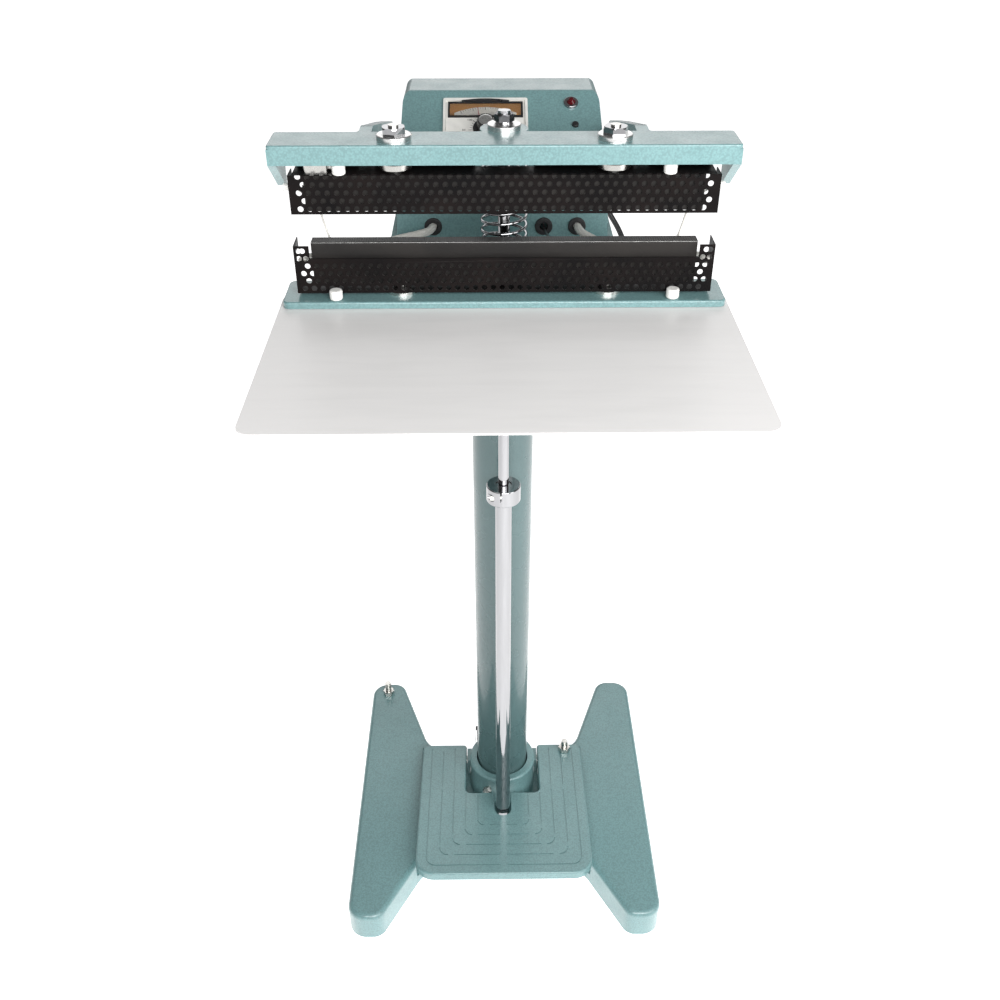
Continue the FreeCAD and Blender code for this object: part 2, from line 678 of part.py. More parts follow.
def jaw_nuts():
    nuts = []
    for side, turn in ((1, 12), (-1, 38)):
        base = V(side * STUD_X, STUD_Y, BEAM_TOP + 4.2)
        nut = hexagon(base, 17, 5.4).cut(cylinder(base - Z_AXIS, 4.0, 12))
        nut.rotate(base, Z_AXIS, turn)
        nuts.append(nut)
    return group(nuts)


def upper_jaw_studs():
    """Studs of the upper bar with the round washers that show under the beam."""
    parts = []
    for side in (1, -1):
        foot = V(side * STUD_X, STUD_Y, 815)
        stud = cylinder(foot, 4.0, 41)
        washer = cylinder(V(foot.x, foot.y, 824.2), 13.3, 4.2)
        spacer = cylinder(V(foot.x, foot.y, 822.1), 6.5, 17.8)
        parts.append(fused([stud, washer, spacer]))
    return group(parts)


def upper_heater_block():
    """Bar whose lower face is cut at the closing angle, so that it lies flat on the lower jaw."""
    tilt = math.radians(CLOSE_ANGLE)
    lift = (LOWER_JAW_TOP + 2 * CLOTH - ARM_AXIS.z) / math.cos(tilt) + ARM_AXIS.z
    profile = [(y, lift + (ARM_AXIS.y - y) * math.tan(tilt)) for y in (UPPER_JAW_FRONT, UPPER_JAW_REAR)]
    profile += [(UPPER_JAW_REAR, 821.0), (UPPER_JAW_FRONT, 821.0)]
    bar = plate_yz(profile, [0.8, 0.8, 0, 0], -JAW_HALF, JAW_HALF)
    tunnel = cylinder(V(-JAW_HALF, -73, 807), 3.1, 2 * JAW_HALF, X_AXIS)
    holes = [cylinder(V(side * STUD_X, STUD_Y, 815), 4.0, 9) for side in (1, -1)]
    return bar.cut(tunnel).cut(group(holes))


def upper_heater_rod():
    return heater_rod(-73, 807)


def upper_guard():
    """Perforated sheet in front of the upper bar, with a tray over the bar and a raised rear edge."""
    x, y, low, high, rear = 166.5, -88.0, 791.6, 822.0, -58.0
    t = GUARD_SHEET
    front = block(-x, x, y, y + t, low, high)
    top = block(-x + 3, x - 3, y, rear, high - t, high)
    edge = block(-x + 3, x - 3, rear - t, rear, high - t, high + 7)
    right = block(x - t, x, y, -70, low + 5.5, high)
    body = fused([front, top, edge, right, mirrored(right)])
    body = body.cut(block(-23, 23, -66.5, rear + 1, high - 2, high + 9))
    arm_notch = block(ARM_IN - 1, ARM_OUT + 1, rear - 2, rear + 1, high, high + 8)
    body = body.cut(arm_notch).cut(mirrored(arm_notch))
    holes = perforations(-x + 3, x - 3, low + 4.2, 5, y) + end_perforations(x, -82.6, 2, low + 10.5, 3)
    studs = [cylinder(V(side * STUD_X, STUD_Y, 818), 4.2, 10) for side in (1, -1)]
    return body.cut(group(holes)).cut(group(studs))


def upper_ceramic_pegs():
    return both_sides(ceramic_peg(V(127, -85.4, 822.0), 5.2, 7.8))


def heat_sensor():
    """Small steel-cased cut-out on the left end of the upper guard's flange."""
    case = rounded_block(-154.5, -136, -83, -70, 822.05, 828.6, 1.5)
    return fused([case, block(-136.5, -133.6, -78, -75, 824, 826.5)])


def return_spring():
    height = BEAM_LIP - DECK_TOP - 2 * SPRING_WIRE_R - 0.4
    helix = Part.makeHelix(height / SPRING_TURNS, height, SPRING_R)
    profile = Part.Wire([Part.makeCircle(SPRING_WIRE_R, V(SPRING_R, 0, 0), Y_AXIS)])
    spring = Part.Wire(helix.Edges).makePipeShell([profile], True, True)
    spring.translate(V(0, SPRING_Y, DECK_TOP + SPRING_WIRE_R + 0.2))
    return spring


# ---- control box --------------------------------------------------------------------------------
PANEL_ANGLE = math.atan2(BOX_TOP_Z - PANEL_FOOT_Z, PANEL_TOP_Y - BOX_FRONT)
PANEL_UP = V(0, math.cos(PANEL_ANGLE), math.sin(PANEL_ANGLE))
PANEL_OUT = V(0, -math.sin(PANEL_ANGLE), math.cos(PANEL_ANGLE))
WINDOW_LEFT = -53.8
WINDOW_RIGHT = 24.4
WINDOW_FOOT = 48.0
WINDOW_HEAD = 107.5
KNOB_UP = 70.0
LAMP_X, LAMP_UP = 65.0, 103.0
BUTTON_X, BUTTON_UP = 68.0, 76.0


def panel_spot(x, up, out=0.0):
    """Point on the sloped panel, up from its foot and out from its face."""
    return V(x, BOX_FRONT, PANEL_FOOT_Z) + PANEL_UP * up + PANEL_OUT * out


def on_panel(shape, x, up, out=0.0):
    """Place a shape drawn with +Z out of the panel and +Y up it."""
    frame = FreeCAD.Rotation(X_AXIS, PANEL_UP, PANEL_OUT, "ZXY")
    placed = shape.copy()
    placed.Placement = FreeCAD.Placement(panel_spot(x, up, out), frame)
    return placed


def box_solid(inset, rear):
    """Box body: wedge-fronted side profile with side walls that lean in towards the top."""
    side = [(BOX_FRONT + inset, BOX_BOTTOM_Z), (BOX_FRONT + inset, PANEL_FOOT_Z + inset * 0.5 - inset),
            (PANEL_TOP_Y + inset * 0.3, BOX_TOP_Z - inset), (rear, BOX_TOP_Z - inset), (rear, BOX_BOTTOM_Z)]
    body = plate_yz(side, [0, 5, 8, 0, 0], -BOX_LOW_HALF, BOX_LOW_HALF)
    low = BOX_LOW_HALF - inset
    top = BOX_TOP_HALF - inset
    front = [V(-low, 0, BOX_BOTTOM_Z), V(low, 0, BOX_BOTTOM_Z),
             V(top, 0, BOX_TOP_Z + 0.5), V(-top, 0, BOX_TOP_Z + 0.5)]
    sides = Part.Face(outline(front, [0, 0, 9, 9])).extrude(V(0, 300, 0))
    return body.common(sides)


def control_box_shell():
    shell = box_solid(0, BOX_REAR).cut(box_solid(BOX_SHEET, BOX_REAR + 10))
    holes = [cylinder(V(x, BOX_FRONT - 2, GROMMET_Z), 6.5, 6, Y_AXIS) for x in GROMMET_X]
    width = WINDOW_RIGHT - WINDOW_LEFT - 5
    window = block(-width / 2, width / 2, 2.5, WINDOW_HEAD - WINDOW_FOOT - 2.5, -6, 6)
    window = on_panel(window, (WINDOW_LEFT + WINDOW_RIGHT) / 2, WINDOW_FOOT)
    lamp = on_panel(cylinder(V(0, 0, -6), 5.0, 12), LAMP_X, LAMP_UP)
    button = on_panel(cylinder(V(0, 0, -6), 3.2, 12), BUTTON_X, BUTTON_UP)
    return shell.cut(group(holes + [window, lamp, button]))


def control_box_back():
    cover = box_solid(0, BOX_REAR + BOX_SHEET).common(block(-120, 120, BOX_REAR, BOX_REAR + 3, 700, 900))
    right_tab = block(83.5, 91, BOX_REAR - 6, BOX_REAR, 726, 736)
    tabs = [right_tab, mirrored(right_tab)]
    gland = cylinder(V(CORD_EXIT_X, BOX_REAR - 5, CORD_EXIT_Z), 6.0, 10, Y_AXIS)
    slots = [rounded_block(x - 1.5, x + 1.5, BOX_REAR - 1, BOX_REAR + 3, 770, 800, 1.4)
             for x in range(-30, 31, 10)]
    screws = [cylinder(V(x, BOX_REAR - 8, z), 2.0, 12, Y_AXIS) for x, z in cover_screw_spots()]
    return fused([cover] + tabs).cut(gland).cut(group(slots + screws))


def dial_frame():
    """White frame round the temperature window."""
    width = WINDOW_RIGHT - WINDOW_LEFT
    height = WINDOW_HEAD - WINDOW_FOOT
    outer = rounded_block(-width / 2, width / 2, 0, height, 0.05, 3.0, 2)
    inner = rounded_block(-width / 2 + 2.4, width / 2 - 2.4, 2.4, height - 2.4, -1, 4, 1.2)
    return on_panel(outer.cut(inner), (WINDOW_LEFT + WINDOW_RIGHT) / 2, WINDOW_FOOT)


def dial_face():
    """Face plate set back inside the frame, with a step for the scale window."""
    width = WINDOW_RIGHT - WINDOW_LEFT - 5.2
    height = WINDOW_HEAD - WINDOW_FOOT
    plate = block(-width / 2, width / 2, 2.7, height - 2.7, -1.5, 1.2)
    scale = rounded_block(-width / 2 + 2.2, width / 2 - 2.2, 37.0, height - 4.6, 0.2, 3, 1)
    return on_panel(plate.cut(scale), (WINDOW_LEFT + WINDOW_RIGHT) / 2, WINDOW_FOOT)


def controller_body():
    """Temperature controller behind the window, with the knob's spindle bush."""
    width = WINDOW_RIGHT - WINDOW_LEFT - 8
    body = block(-width / 2, width / 2, 5, 57, -46, -1.6)
    return on_panel(body, (WINDOW_LEFT + WINDOW_RIGHT) / 2, WINDOW_FOOT)


def knob_x():
    return (WINDOW_LEFT + WINDOW_RIGHT) / 2


def temperature_knob():
    """Fluted knob with a skirt."""
    skirt = soften(cylinder(V(0, 0, 1.5), 11.5, 2.2), 0.6, lies_at(3.7))
    grip = Part.makeCone(8.4, 7.4, 9.5, V(0, 0, 3.6))
    flutes = [cylinder(V(8.9 * math.cos(k * math.pi / 6), 8.9 * math.sin(k * math.pi / 6), 5), 1.3, 12)
              for k in range(12)]
    mark = block(-0.5, 0.5, 3, 9, 12.5, 14)
    return on_panel(fused([skirt, grip]).cut(group(flutes)).cut(mark), knob_x(), KNOB_UP)


def lamp_bezel():
    flange = soften(cylinder(V(0, 0, 0.05), 6.75, 2.4), 0.8, lies_at(2.45))
    barrel = cylinder(V(0, 0, -10), 4.9, 11)
    bore = cylinder(V(0, 0, -11), 4.2, 15)
    return on_panel(fused([flange, barrel]).cut(bore), LAMP_X, LAMP_UP)


def lamp_lens():
    """Faceted red lens."""
    body = cylinder(V(0, 0, -8), 4.1, 10)
    facets = Part.Face(Part.makePolygon([V(4.2 * math.cos(k * math.pi / 4), 4.2 * math.sin(k * math.pi / 4), 1.9)
                                         for k in range(9)])).extrude(V(0, 0, 3.6))
    facets = facets.common(Part.makeCone(4.6, 1.8, 3.8, V(0, 0, 1.9)))
    return on_panel(fused([body, facets]), LAMP_X, LAMP_UP)


def power_button():
    cap = cylinder(V(0, 0, -7), 3.0, 9.5).common(Part.makeSphere(10, V(0, 0, -7)).fuse(cylinder(V(0, 0, -8), 3, 8)))
    stop = cylinder(V(0, 0, -5.2), 4.2, 1.2)
    return on_panel(fused([soften(cap, 0.9, lies_at(2.5)), stop]), BUTTON_X, BUTTON_UP)


def grommets():
    rings = []
    for x in GROMMET_X:
        base = V(x, BOX_FRONT, GROMMET_Z)
        front = ring(base - Y_AXIS * 2.2, 8.0, 3.6, 2.2, Y_AXIS)
        front = soften(front, 0.9, lambda e: e.Closed and abs(e.BoundBox.YMax - (BOX_FRONT - 2.2)) < 0.01)
        neck = ring(base, 6.5, 3.6, BOX_SHEET, Y_AXIS)
        back = ring(base + Y_AXIS * BOX_SHEET, 8.0, 3.6, 2, Y_AXIS)
        rings.append(fused([front, neck, back]))
    return group(rings)


def terminal_block():
    """Screw terminals on the deck inside the box."""
    base = block(-60, 20, 120, 140, DECK_TOP, DECK_TOP + 16)
    wells = [cylinder(V(-54 + 12 * k, 130, DECK_TOP + 9), 2.6, 10) for k in range(7)]
    walls = [block(-49.2 + 12 * k, -46.8 + 12 * k, 119, 141, DECK_TOP + 10, DECK_TOP + 20) for k in range(6)]
    return base.cut(group(wells + walls))


# ---- wires and cord -----------------------------------------------------------------------------
def bend_radius(before, point, after):
    """As large as the two runs allow: 0.45 of the shorter run over the tangent of half the turn."""
    turn = (point - before).getAngle(after - point)
    return 0.45 * min((point - before).Length, (after - point).Length) / math.tan(turn / 2)


def run_tube(points, radius):
    """Round tube along straight runs joined by tangent arcs; returns the solid and its bend radii."""
    points = [V(*p) for p in points]
    edges = []
    radii = []
    last = points[0]
    for k in range(1, len(points) - 1):
        bend = bend_radius(points[k - 1], points[k], points[k + 1])
        start, middle, end = corner_arc(points[k - 1], points[k], points[k + 1], bend)
        edges.append(Part.LineSegment(last, start).toShape())
        edges.append(Part.Arc(start, middle, end).toShape())
        radii.append(bend)
        last = end
    edges.append(Part.LineSegment(last, points[-1]).toShape())
    path = Part.Wire(edges)
    section = Part.Wire([Part.makeCircle(radius, points[0], points[1] - points[0])])
    solid = path.makePipeShell([section], True, True)
    expected = math.pi * radius ** 2 * path.Length
    print("tube length %.0f, volume ratio %.4f, bend radii %s"
          % (path.Length, solid.Volume / expected, [round(r) for r in radii]))
    return solid


SLEEVE_END = [(131, -38.5, 739), (147, -52, 742), (158, -61, 746), (164, -67, 747.5), (164.4, -75, 748)]
SLEEVE_LEFT = [(-62.7, 44, 736), (-62.7, 26, 736), (-74, 10, 738), (-92, -6, 740),
               (-112, -22, 740)] + [(-x, y, z) for x, y, z in SLEEVE_END]
SLEEVE_RIGHT = [(67.5, 44, 736), (67.5, 26, 736), (77, 11, 734), (94, -6, 733), (113, -23, 735)] + SLEEVE_END
THERMOCOUPLE = [(37.4, 44, 736), (37.4, 24, 735), (46, 2, 731), (57, -18, 728.5), (66, -38, 730), (69, -54, 736),
                (69.5, -65.5, 744)]
UPPER_LEAD = [(160.8, -73, 807), (163.4, -73, 806.8), (163.7, -66, 804.5), (157.5, -58.5, 797), (149.5, -55, 785),
              (146.5, -54, 770), (143.5, -51.5, 757), (140.5, -48, 749.8), (136.5, -43.6, 744.6)]


def heater_sleeves():
    return group([run_tube(SLEEVE_LEFT, 3.4), run_tube(SLEEVE_RIGHT, 3.4)])


def thermocouple_lead():
    return run_tube(THERMOCOUPLE, 0.9)


def upper_heater_leads():
    return both_sides(run_tube(UPPER_LEAD, 0.9))


CORD_EXIT_X = 74.0
CORD_EXIT_Z = 736.0
GLAND_LENGTH = 34.0
CORD_START_Y = BOX_REAR + BOX_SHEET + GLAND_LENGTH
CLIPS = ((405, -1.5), (200, -2.0))
CLIP_Y = COLUMN_R + 5.1
CORD_ROUTE = [(74, CORD_START_Y, 736), (76, 244, 735), (88, 264, 722), (105, 268, 698), (121, 262, 670),
              (138, 248, 646), (146, 222, 618), (128, 184, 588), (92, 146, 562), (54, 112, 542), (25, 80, 524),
              (8, 52, 502), (1, 37, 470), (0, 35, 430), (-3, 35, 380), (-7, 35, 325), (-7.5, 35, 270), (-3.5, 35, 220),
              (-0.5, 35.5, 180), (1.5, 39, 140), (6, 48, 108), (14, 58, 82), (23, 67, 58), (29, 76, 39)]


def mains_gland():
    """Tapered strain relief on the rear cover with a collar inside and outside."""
    base = V(CORD_EXIT_X, BOX_REAR + BOX_SHEET, CORD_EXIT_Z)
    collar = cylinder(base, 8.5, 3.5, Y_AXIS)
    taper = Part.makeCone(6.6, 4.1, GLAND_LENGTH - 2, base + V(0, 2, 0), Y_AXIS)
    neck = cylinder(base - Y_AXIS * BOX_SHEET, 6.0, BOX_SHEET + 0.5, Y_AXIS)
    inner = cylinder(base - Y_AXIS * (BOX_SHEET + 3), 8.0, 3, Y_AXIS)
    rings = [ring(base + V(0, 7 + 5 * k, 0), 7.4, 3.6, 1.8, Y_AXIS) for k in range(5)]
    trimmed = fused([taper] + rings).common(Part.makeCone(8.0, 4.5, GLAND_LENGTH, base, Y_AXIS))
    return fused([collar, trimmed, neck, inner])


def mains_cord():
    return run_tube(CORD_ROUTE, CORD_R)


def mains_cord_coil():
    """Outer shape of the stacked turns, on the floor close behind the column."""
    outer = COIL_MEAN_R + CORD_R
    inner = COIL_MEAN_R - CORD_R
    return ring(V(0, COIL_Y, 0), outer, inner, 2 * CORD_R * (COIL_TURNS + 1))


def mains_plug():
    """Moulded plug lying on the floor behind the coil, its tail against the lowest turn."""
    x, half, height = 26.5, 8.5, 15.0
    body = soften(block(x - half, x + half, 116, 152, 0, height), 3.2, lambda e: e.BoundBox.YLength > 30)
    tail = Part.makeCone(3.7, 5.6, 21, V(x, 96, height / 2), Y_AXIS)
    ribs = [ring(V(x, 101 + 4 * k, height / 2), 6.2, 3.0, 1.6, Y_AXIS) for k in range(4)]
    tail = tail.fuse(group(ribs)).common(Part.makeCone(4.4, 6.4, 21, V(x, 96, height / 2), Y_AXIS))
    blades = [block(x + s * 6.3 - 0.75, x + s * 6.3 + 0.75, 151, 167, 4.5, 10.5) for s in (-1, 1)]
    earth = cylinder(V(x, 151, height / 2 + 4.2), 2.3, 17, Y_AXIS)
    return fused([body, tail, earth] + blades)


def cord_clips():
    """Saddle clips on the back of the column, each round the middle of a straight run of the cord."""
    clips = []
    for z, x in CLIPS:
        saddle = rounded_block(x - 9, x + 9, 20, CLIP_Y + CORD_R + 2.2, z - 5, z + 5, 3)
        tunnel = cylinder(V(x, CLIP_Y, z - 9), CORD_R + 0.7, 18)
        clips.append(saddle.cut(cylinder(V(0, 0, z - 9), COLUMN_R + 0.05, 18)).cut(tunnel))
    return group(clips)


# ---- export -------------------------------------------------------------------------------------
NODES = {
    "leg_left": leg_left, "leg_right": leg_right, "leg_bolts": leg_bolts, "column_socket": column_socket,
    "column_lock_screws": column_lock_screws, "column_tube": column_tube, "levelling_stud": levelling_stud,
    "levelling_nut": levelling_nut, "pedal_pins": pedal_pins, "pedal": pedal, "rod_foot_pin": rod_foot_pin,
    "pedal_stop_stud": pedal_stop_stud, "pedal_stop_nut": pedal_stop_nut, "pull_rod": pull_rod,
    "pull_rod_nut": pull_rod_nut, "pull_tube": pull_tube, "rod_collar": rod_collar, "collar_screw": collar_screw,
    "head_frame": head_frame, "work_table": work_table, "pan_screws": pan_screws,
    "lower_heater_block": lower_heater_block, "lower_heater_rod": lower_heater_rod, "lower_cloth": lower_cloth,
    "lower_guard": lower_guard, "lower_jaw_studs": lower_jaw_studs, "lower_ceramic_pegs": lower_ceramic_pegs,
    "upper_arm": upper_arm, "pivot_bolts": pivot_bolts, "rod_disc": rod_disc, "jaw_discs": jaw_discs,
    "jaw_nuts": jaw_nuts, "upper_jaw_studs": upper_jaw_studs, "upper_heater_block": upper_heater_block,
    "upper_heater_rod": upper_heater_rod, "upper_guard": upper_guard, "upper_ceramic_pegs": upper_ceramic_pegs,
    "heat_sensor": heat_sensor, "return_spring": return_spring, "control_box_shell": control_box_shell,
    "control_box_back": control_box_back, "dial_frame": dial_frame, "dial_face": dial_face,
    "controller_body": controller_body, "temperature_knob": temperature_knob, "lamp_bezel": lamp_bezel,
    "lamp_lens": lamp_lens, "power_button": power_button, "grommets": grommets, "terminal_block": terminal_block,
    "heater_sleeves": heater_sleeves, "thermocouple_lead": thermocouple_lead,
    "upper_heater_leads": upper_heater_leads, "mains_gland": mains_gland, "mains_cord": mains_cord,
    "mains_cord_coil": mains_cord_coil, "mains_plug": mains_plug, "cord_clips": cord_clips,
}


def main():
    os.makedirs("parts", exist_ok=True)
    for name, make in NODES.items():
        shape = make()
        box = shape.BoundBox
        print("%-20s solids %d valid %s  x %.1f %.1f  y %.1f %.1f  z %.1f %.1f" % (
            name, len(shape.Solids), shape.isValid(), box.XMin, box.XMax, box.YMin, box.YMax, box.ZMin, box.ZMax))
        shape.exportStep("parts/%s.step" % name)


main()
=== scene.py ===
"""Looks of the foot-operated heat sealer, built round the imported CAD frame. Metres, +Z up."""
import json
import math

import bpy
import bmesh
from mathutils import Matrix, Vector


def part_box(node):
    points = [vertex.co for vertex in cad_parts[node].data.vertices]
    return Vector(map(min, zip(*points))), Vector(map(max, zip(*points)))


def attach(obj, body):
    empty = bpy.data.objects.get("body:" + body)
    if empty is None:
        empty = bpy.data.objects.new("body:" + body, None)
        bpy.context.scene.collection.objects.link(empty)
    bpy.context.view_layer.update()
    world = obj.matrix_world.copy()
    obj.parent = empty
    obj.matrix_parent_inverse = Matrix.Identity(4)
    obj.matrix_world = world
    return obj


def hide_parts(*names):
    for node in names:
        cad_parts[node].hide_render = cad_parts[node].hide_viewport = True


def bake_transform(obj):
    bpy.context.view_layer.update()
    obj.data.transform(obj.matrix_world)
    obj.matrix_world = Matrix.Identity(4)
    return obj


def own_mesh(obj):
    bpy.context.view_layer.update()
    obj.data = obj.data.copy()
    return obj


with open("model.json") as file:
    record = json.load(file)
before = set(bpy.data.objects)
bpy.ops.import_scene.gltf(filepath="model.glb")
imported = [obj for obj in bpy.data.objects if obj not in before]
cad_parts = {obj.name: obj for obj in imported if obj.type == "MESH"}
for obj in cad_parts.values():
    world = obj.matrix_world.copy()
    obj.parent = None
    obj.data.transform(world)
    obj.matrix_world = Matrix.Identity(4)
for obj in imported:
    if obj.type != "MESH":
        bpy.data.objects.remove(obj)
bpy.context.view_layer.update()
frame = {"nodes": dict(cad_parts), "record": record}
MM = 0.001


# ---- camera -------------------------------------------------------------------------------------
CAMERA_AT = Vector((-13.6, -888.5, 1078.3)) * MM
CAMERA_PITCH = 34.95
CAMERA_YAW = 0.706
CAMERA_LENS = 37.81


def make_camera():
    data = bpy.data.cameras.new("camera")
    data.lens = CAMERA_LENS
    data.sensor_width = 36.0
    data.clip_start = 0.01
    camera = bpy.data.objects.new("camera", data)
    camera.location = CAMERA_AT
    camera.rotation_euler = (math.radians(90 - CAMERA_PITCH), 0, math.radians(-CAMERA_YAW))
    bpy.context.collection.objects.link(camera)
    bpy.context.scene.camera = camera


make_camera()


# ---- mesh helpers -------------------------------------------------------------------------------
def add_mesh(name, vertices, faces, smooth=True):
    mesh = bpy.data.meshes.new(name)
    mesh.from_pydata([tuple(v) for v in vertices], [], faces)
    mesh.update()
    for polygon in mesh.polygons:
        polygon.use_smooth = smooth
    piece = bpy.data.objects.new(name, mesh)
    bpy.context.collection.objects.link(piece)
    return piece


def spline_curve(name, points, radius=0.0):
    """One open NURBS spline of order 3 that has points as its control points, in metres."""
    data = bpy.data.curves.new(name, "CURVE")
    data.dimensions = "3D"
    data.resolution_u = 8
    spline = data.splines.new("NURBS")
    spline.points.add(len(points) - 1)
    for knot, point in zip(spline.points, points):
        knot.co = (*point, 1.0)
        knot.radius = radius
    spline.order_u = 3
    spline.use_endpoint_u = True
    data.bevel_depth = 1.0 if radius else 0.0
    data.bevel_resolution = 5
    data.use_fill_caps = True
    piece = bpy.data.objects.new(name, data)
    bpy.context.collection.objects.link(piece)
    return piece


def in_metres(points):
    return [Vector(p) * MM for p in points]


def spline_path(points):
    """The points of the NURBS spline's own smooth line."""
    curve = spline_curve("path", points)
    mesh = bpy.data.meshes.new_from_object(curve)
    path = [v.co.copy() for v in mesh.vertices]
    bpy.data.objects.remove(curve)
    return path


def even_path(path, step):
    """Points along path, step apart."""
    lengths = [0.0]
    for a, b in zip(path, path[1:]):
        lengths.append(lengths[-1] + (b - a).length)
    count = max(2, round(lengths[-1] / step))
    result = []
    k = 0
    for i in range(count + 1):
        want = lengths[-1] * i / count
        while k < len(path) - 2 and lengths[k + 1] < want:
            k += 1
        span = max(lengths[k + 1] - lengths[k], 1e-9)
        result.append(path[k].lerp(path[k + 1], min(1, (want - lengths[k]) / span)))
    return result


def sweep(name, path, sides, radius_at):
    """Closed tube along path, whose surface radius_at(distance, angle) gives."""
    last = len(path) - 1
    tangents = [(path[min(i + 1, last)] - path[max(i - 1, 0)]).normalized() for i in range(last + 1)]
    normal = tangents[0].orthogonal().normalized()
    vertices = []
    distance = 0.0
    for i, point in enumerate(path):
        normal = (normal - tangents[i] * normal.dot(tangents[i])).normalized()
        binormal = tangents[i].cross(normal)
        if i:
            distance += (point - path[i - 1]).length
        for k in range(sides):
            angle = 2 * math.pi * k / sides
            offset = normal * math.cos(angle) + binormal * math.sin(angle)
            vertices.append(point + offset * radius_at(distance, angle))
    faces = []
    for i in range(last):
        for k in range(sides):
            a = i * sides + k
            b = i * sides + (k + 1) % sides
            faces.append((a, b, b + sides, a + sides))
    faces.append(tuple(range(sides))[::-1])
    faces.append(tuple(range(len(vertices) - sides, len(vertices))))
    return add_mesh(name, vertices, faces)


def round_tube(name, points, radius, step=0.002, sides=14):
    return sweep(name, even_path(spline_path(points), step), sides, lambda s, a: radius)


# ---- cord ---------------------------------------------------------------------------------------
CORD_RADIUS = 0.003
COIL_CENTRE = Vector((0.0, 0.076, 0.0))
COIL_RADIUS = 0.030
COIL_TURNS = 5
COIL_STEPS = 14
CORD_ROUTE_MM = [(74, 219.5, 736), (76, 244, 735), (88, 264, 722), (105, 268, 698), (121, 262, 670),
                 (138, 248, 646), (146, 222, 618), (128, 184, 588), (92, 146, 562), (54, 112, 542),
                 (25, 80, 524), (8, 52, 502), (1, 37, 470), (0, 35, 430), (-3, 35, 380), (-7, 35, 325),
                 (-7.5, 35, 270), (-3.5, 35, 220), (-0.5, 35.5, 180), (1.5, 39, 140), (6, 48, 108),
                 (14, 58, 82), (23, 67, 58), (29, 76, 39)]
PLUG_RUN_MM = [(29.5, 88, 3.2), (28, 94, 5.5), (27, 99, 7.3)]


def coil_points():
    """Turns wound down from the top of the stack to the floor, one diameter apart."""
    points = []
    total = COIL_TURNS * COIL_STEPS
    for k in range(1, total + 1):
        angle = 2 * math.pi * k / COIL_STEPS
        height = CORD_RADIUS * (1 + 2 * COIL_TURNS * (1 - k / total))
        points.append(COIL_CENTRE + Vector((math.cos(angle), math.sin(angle), 0)) * COIL_RADIUS
                      + Vector((0, 0, height)))
    return points


def make_cord():
    route = in_metres(CORD_ROUTE_MM) + coil_points() + in_metres(PLUG_RUN_MM)
    cord = spline_curve("mains_cord_line", route, CORD_RADIUS)
    line = spline_path(route)
    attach(cord, "stand")
    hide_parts("mains_cord", "mains_cord_coil")
    return cord


cord = make_cord()


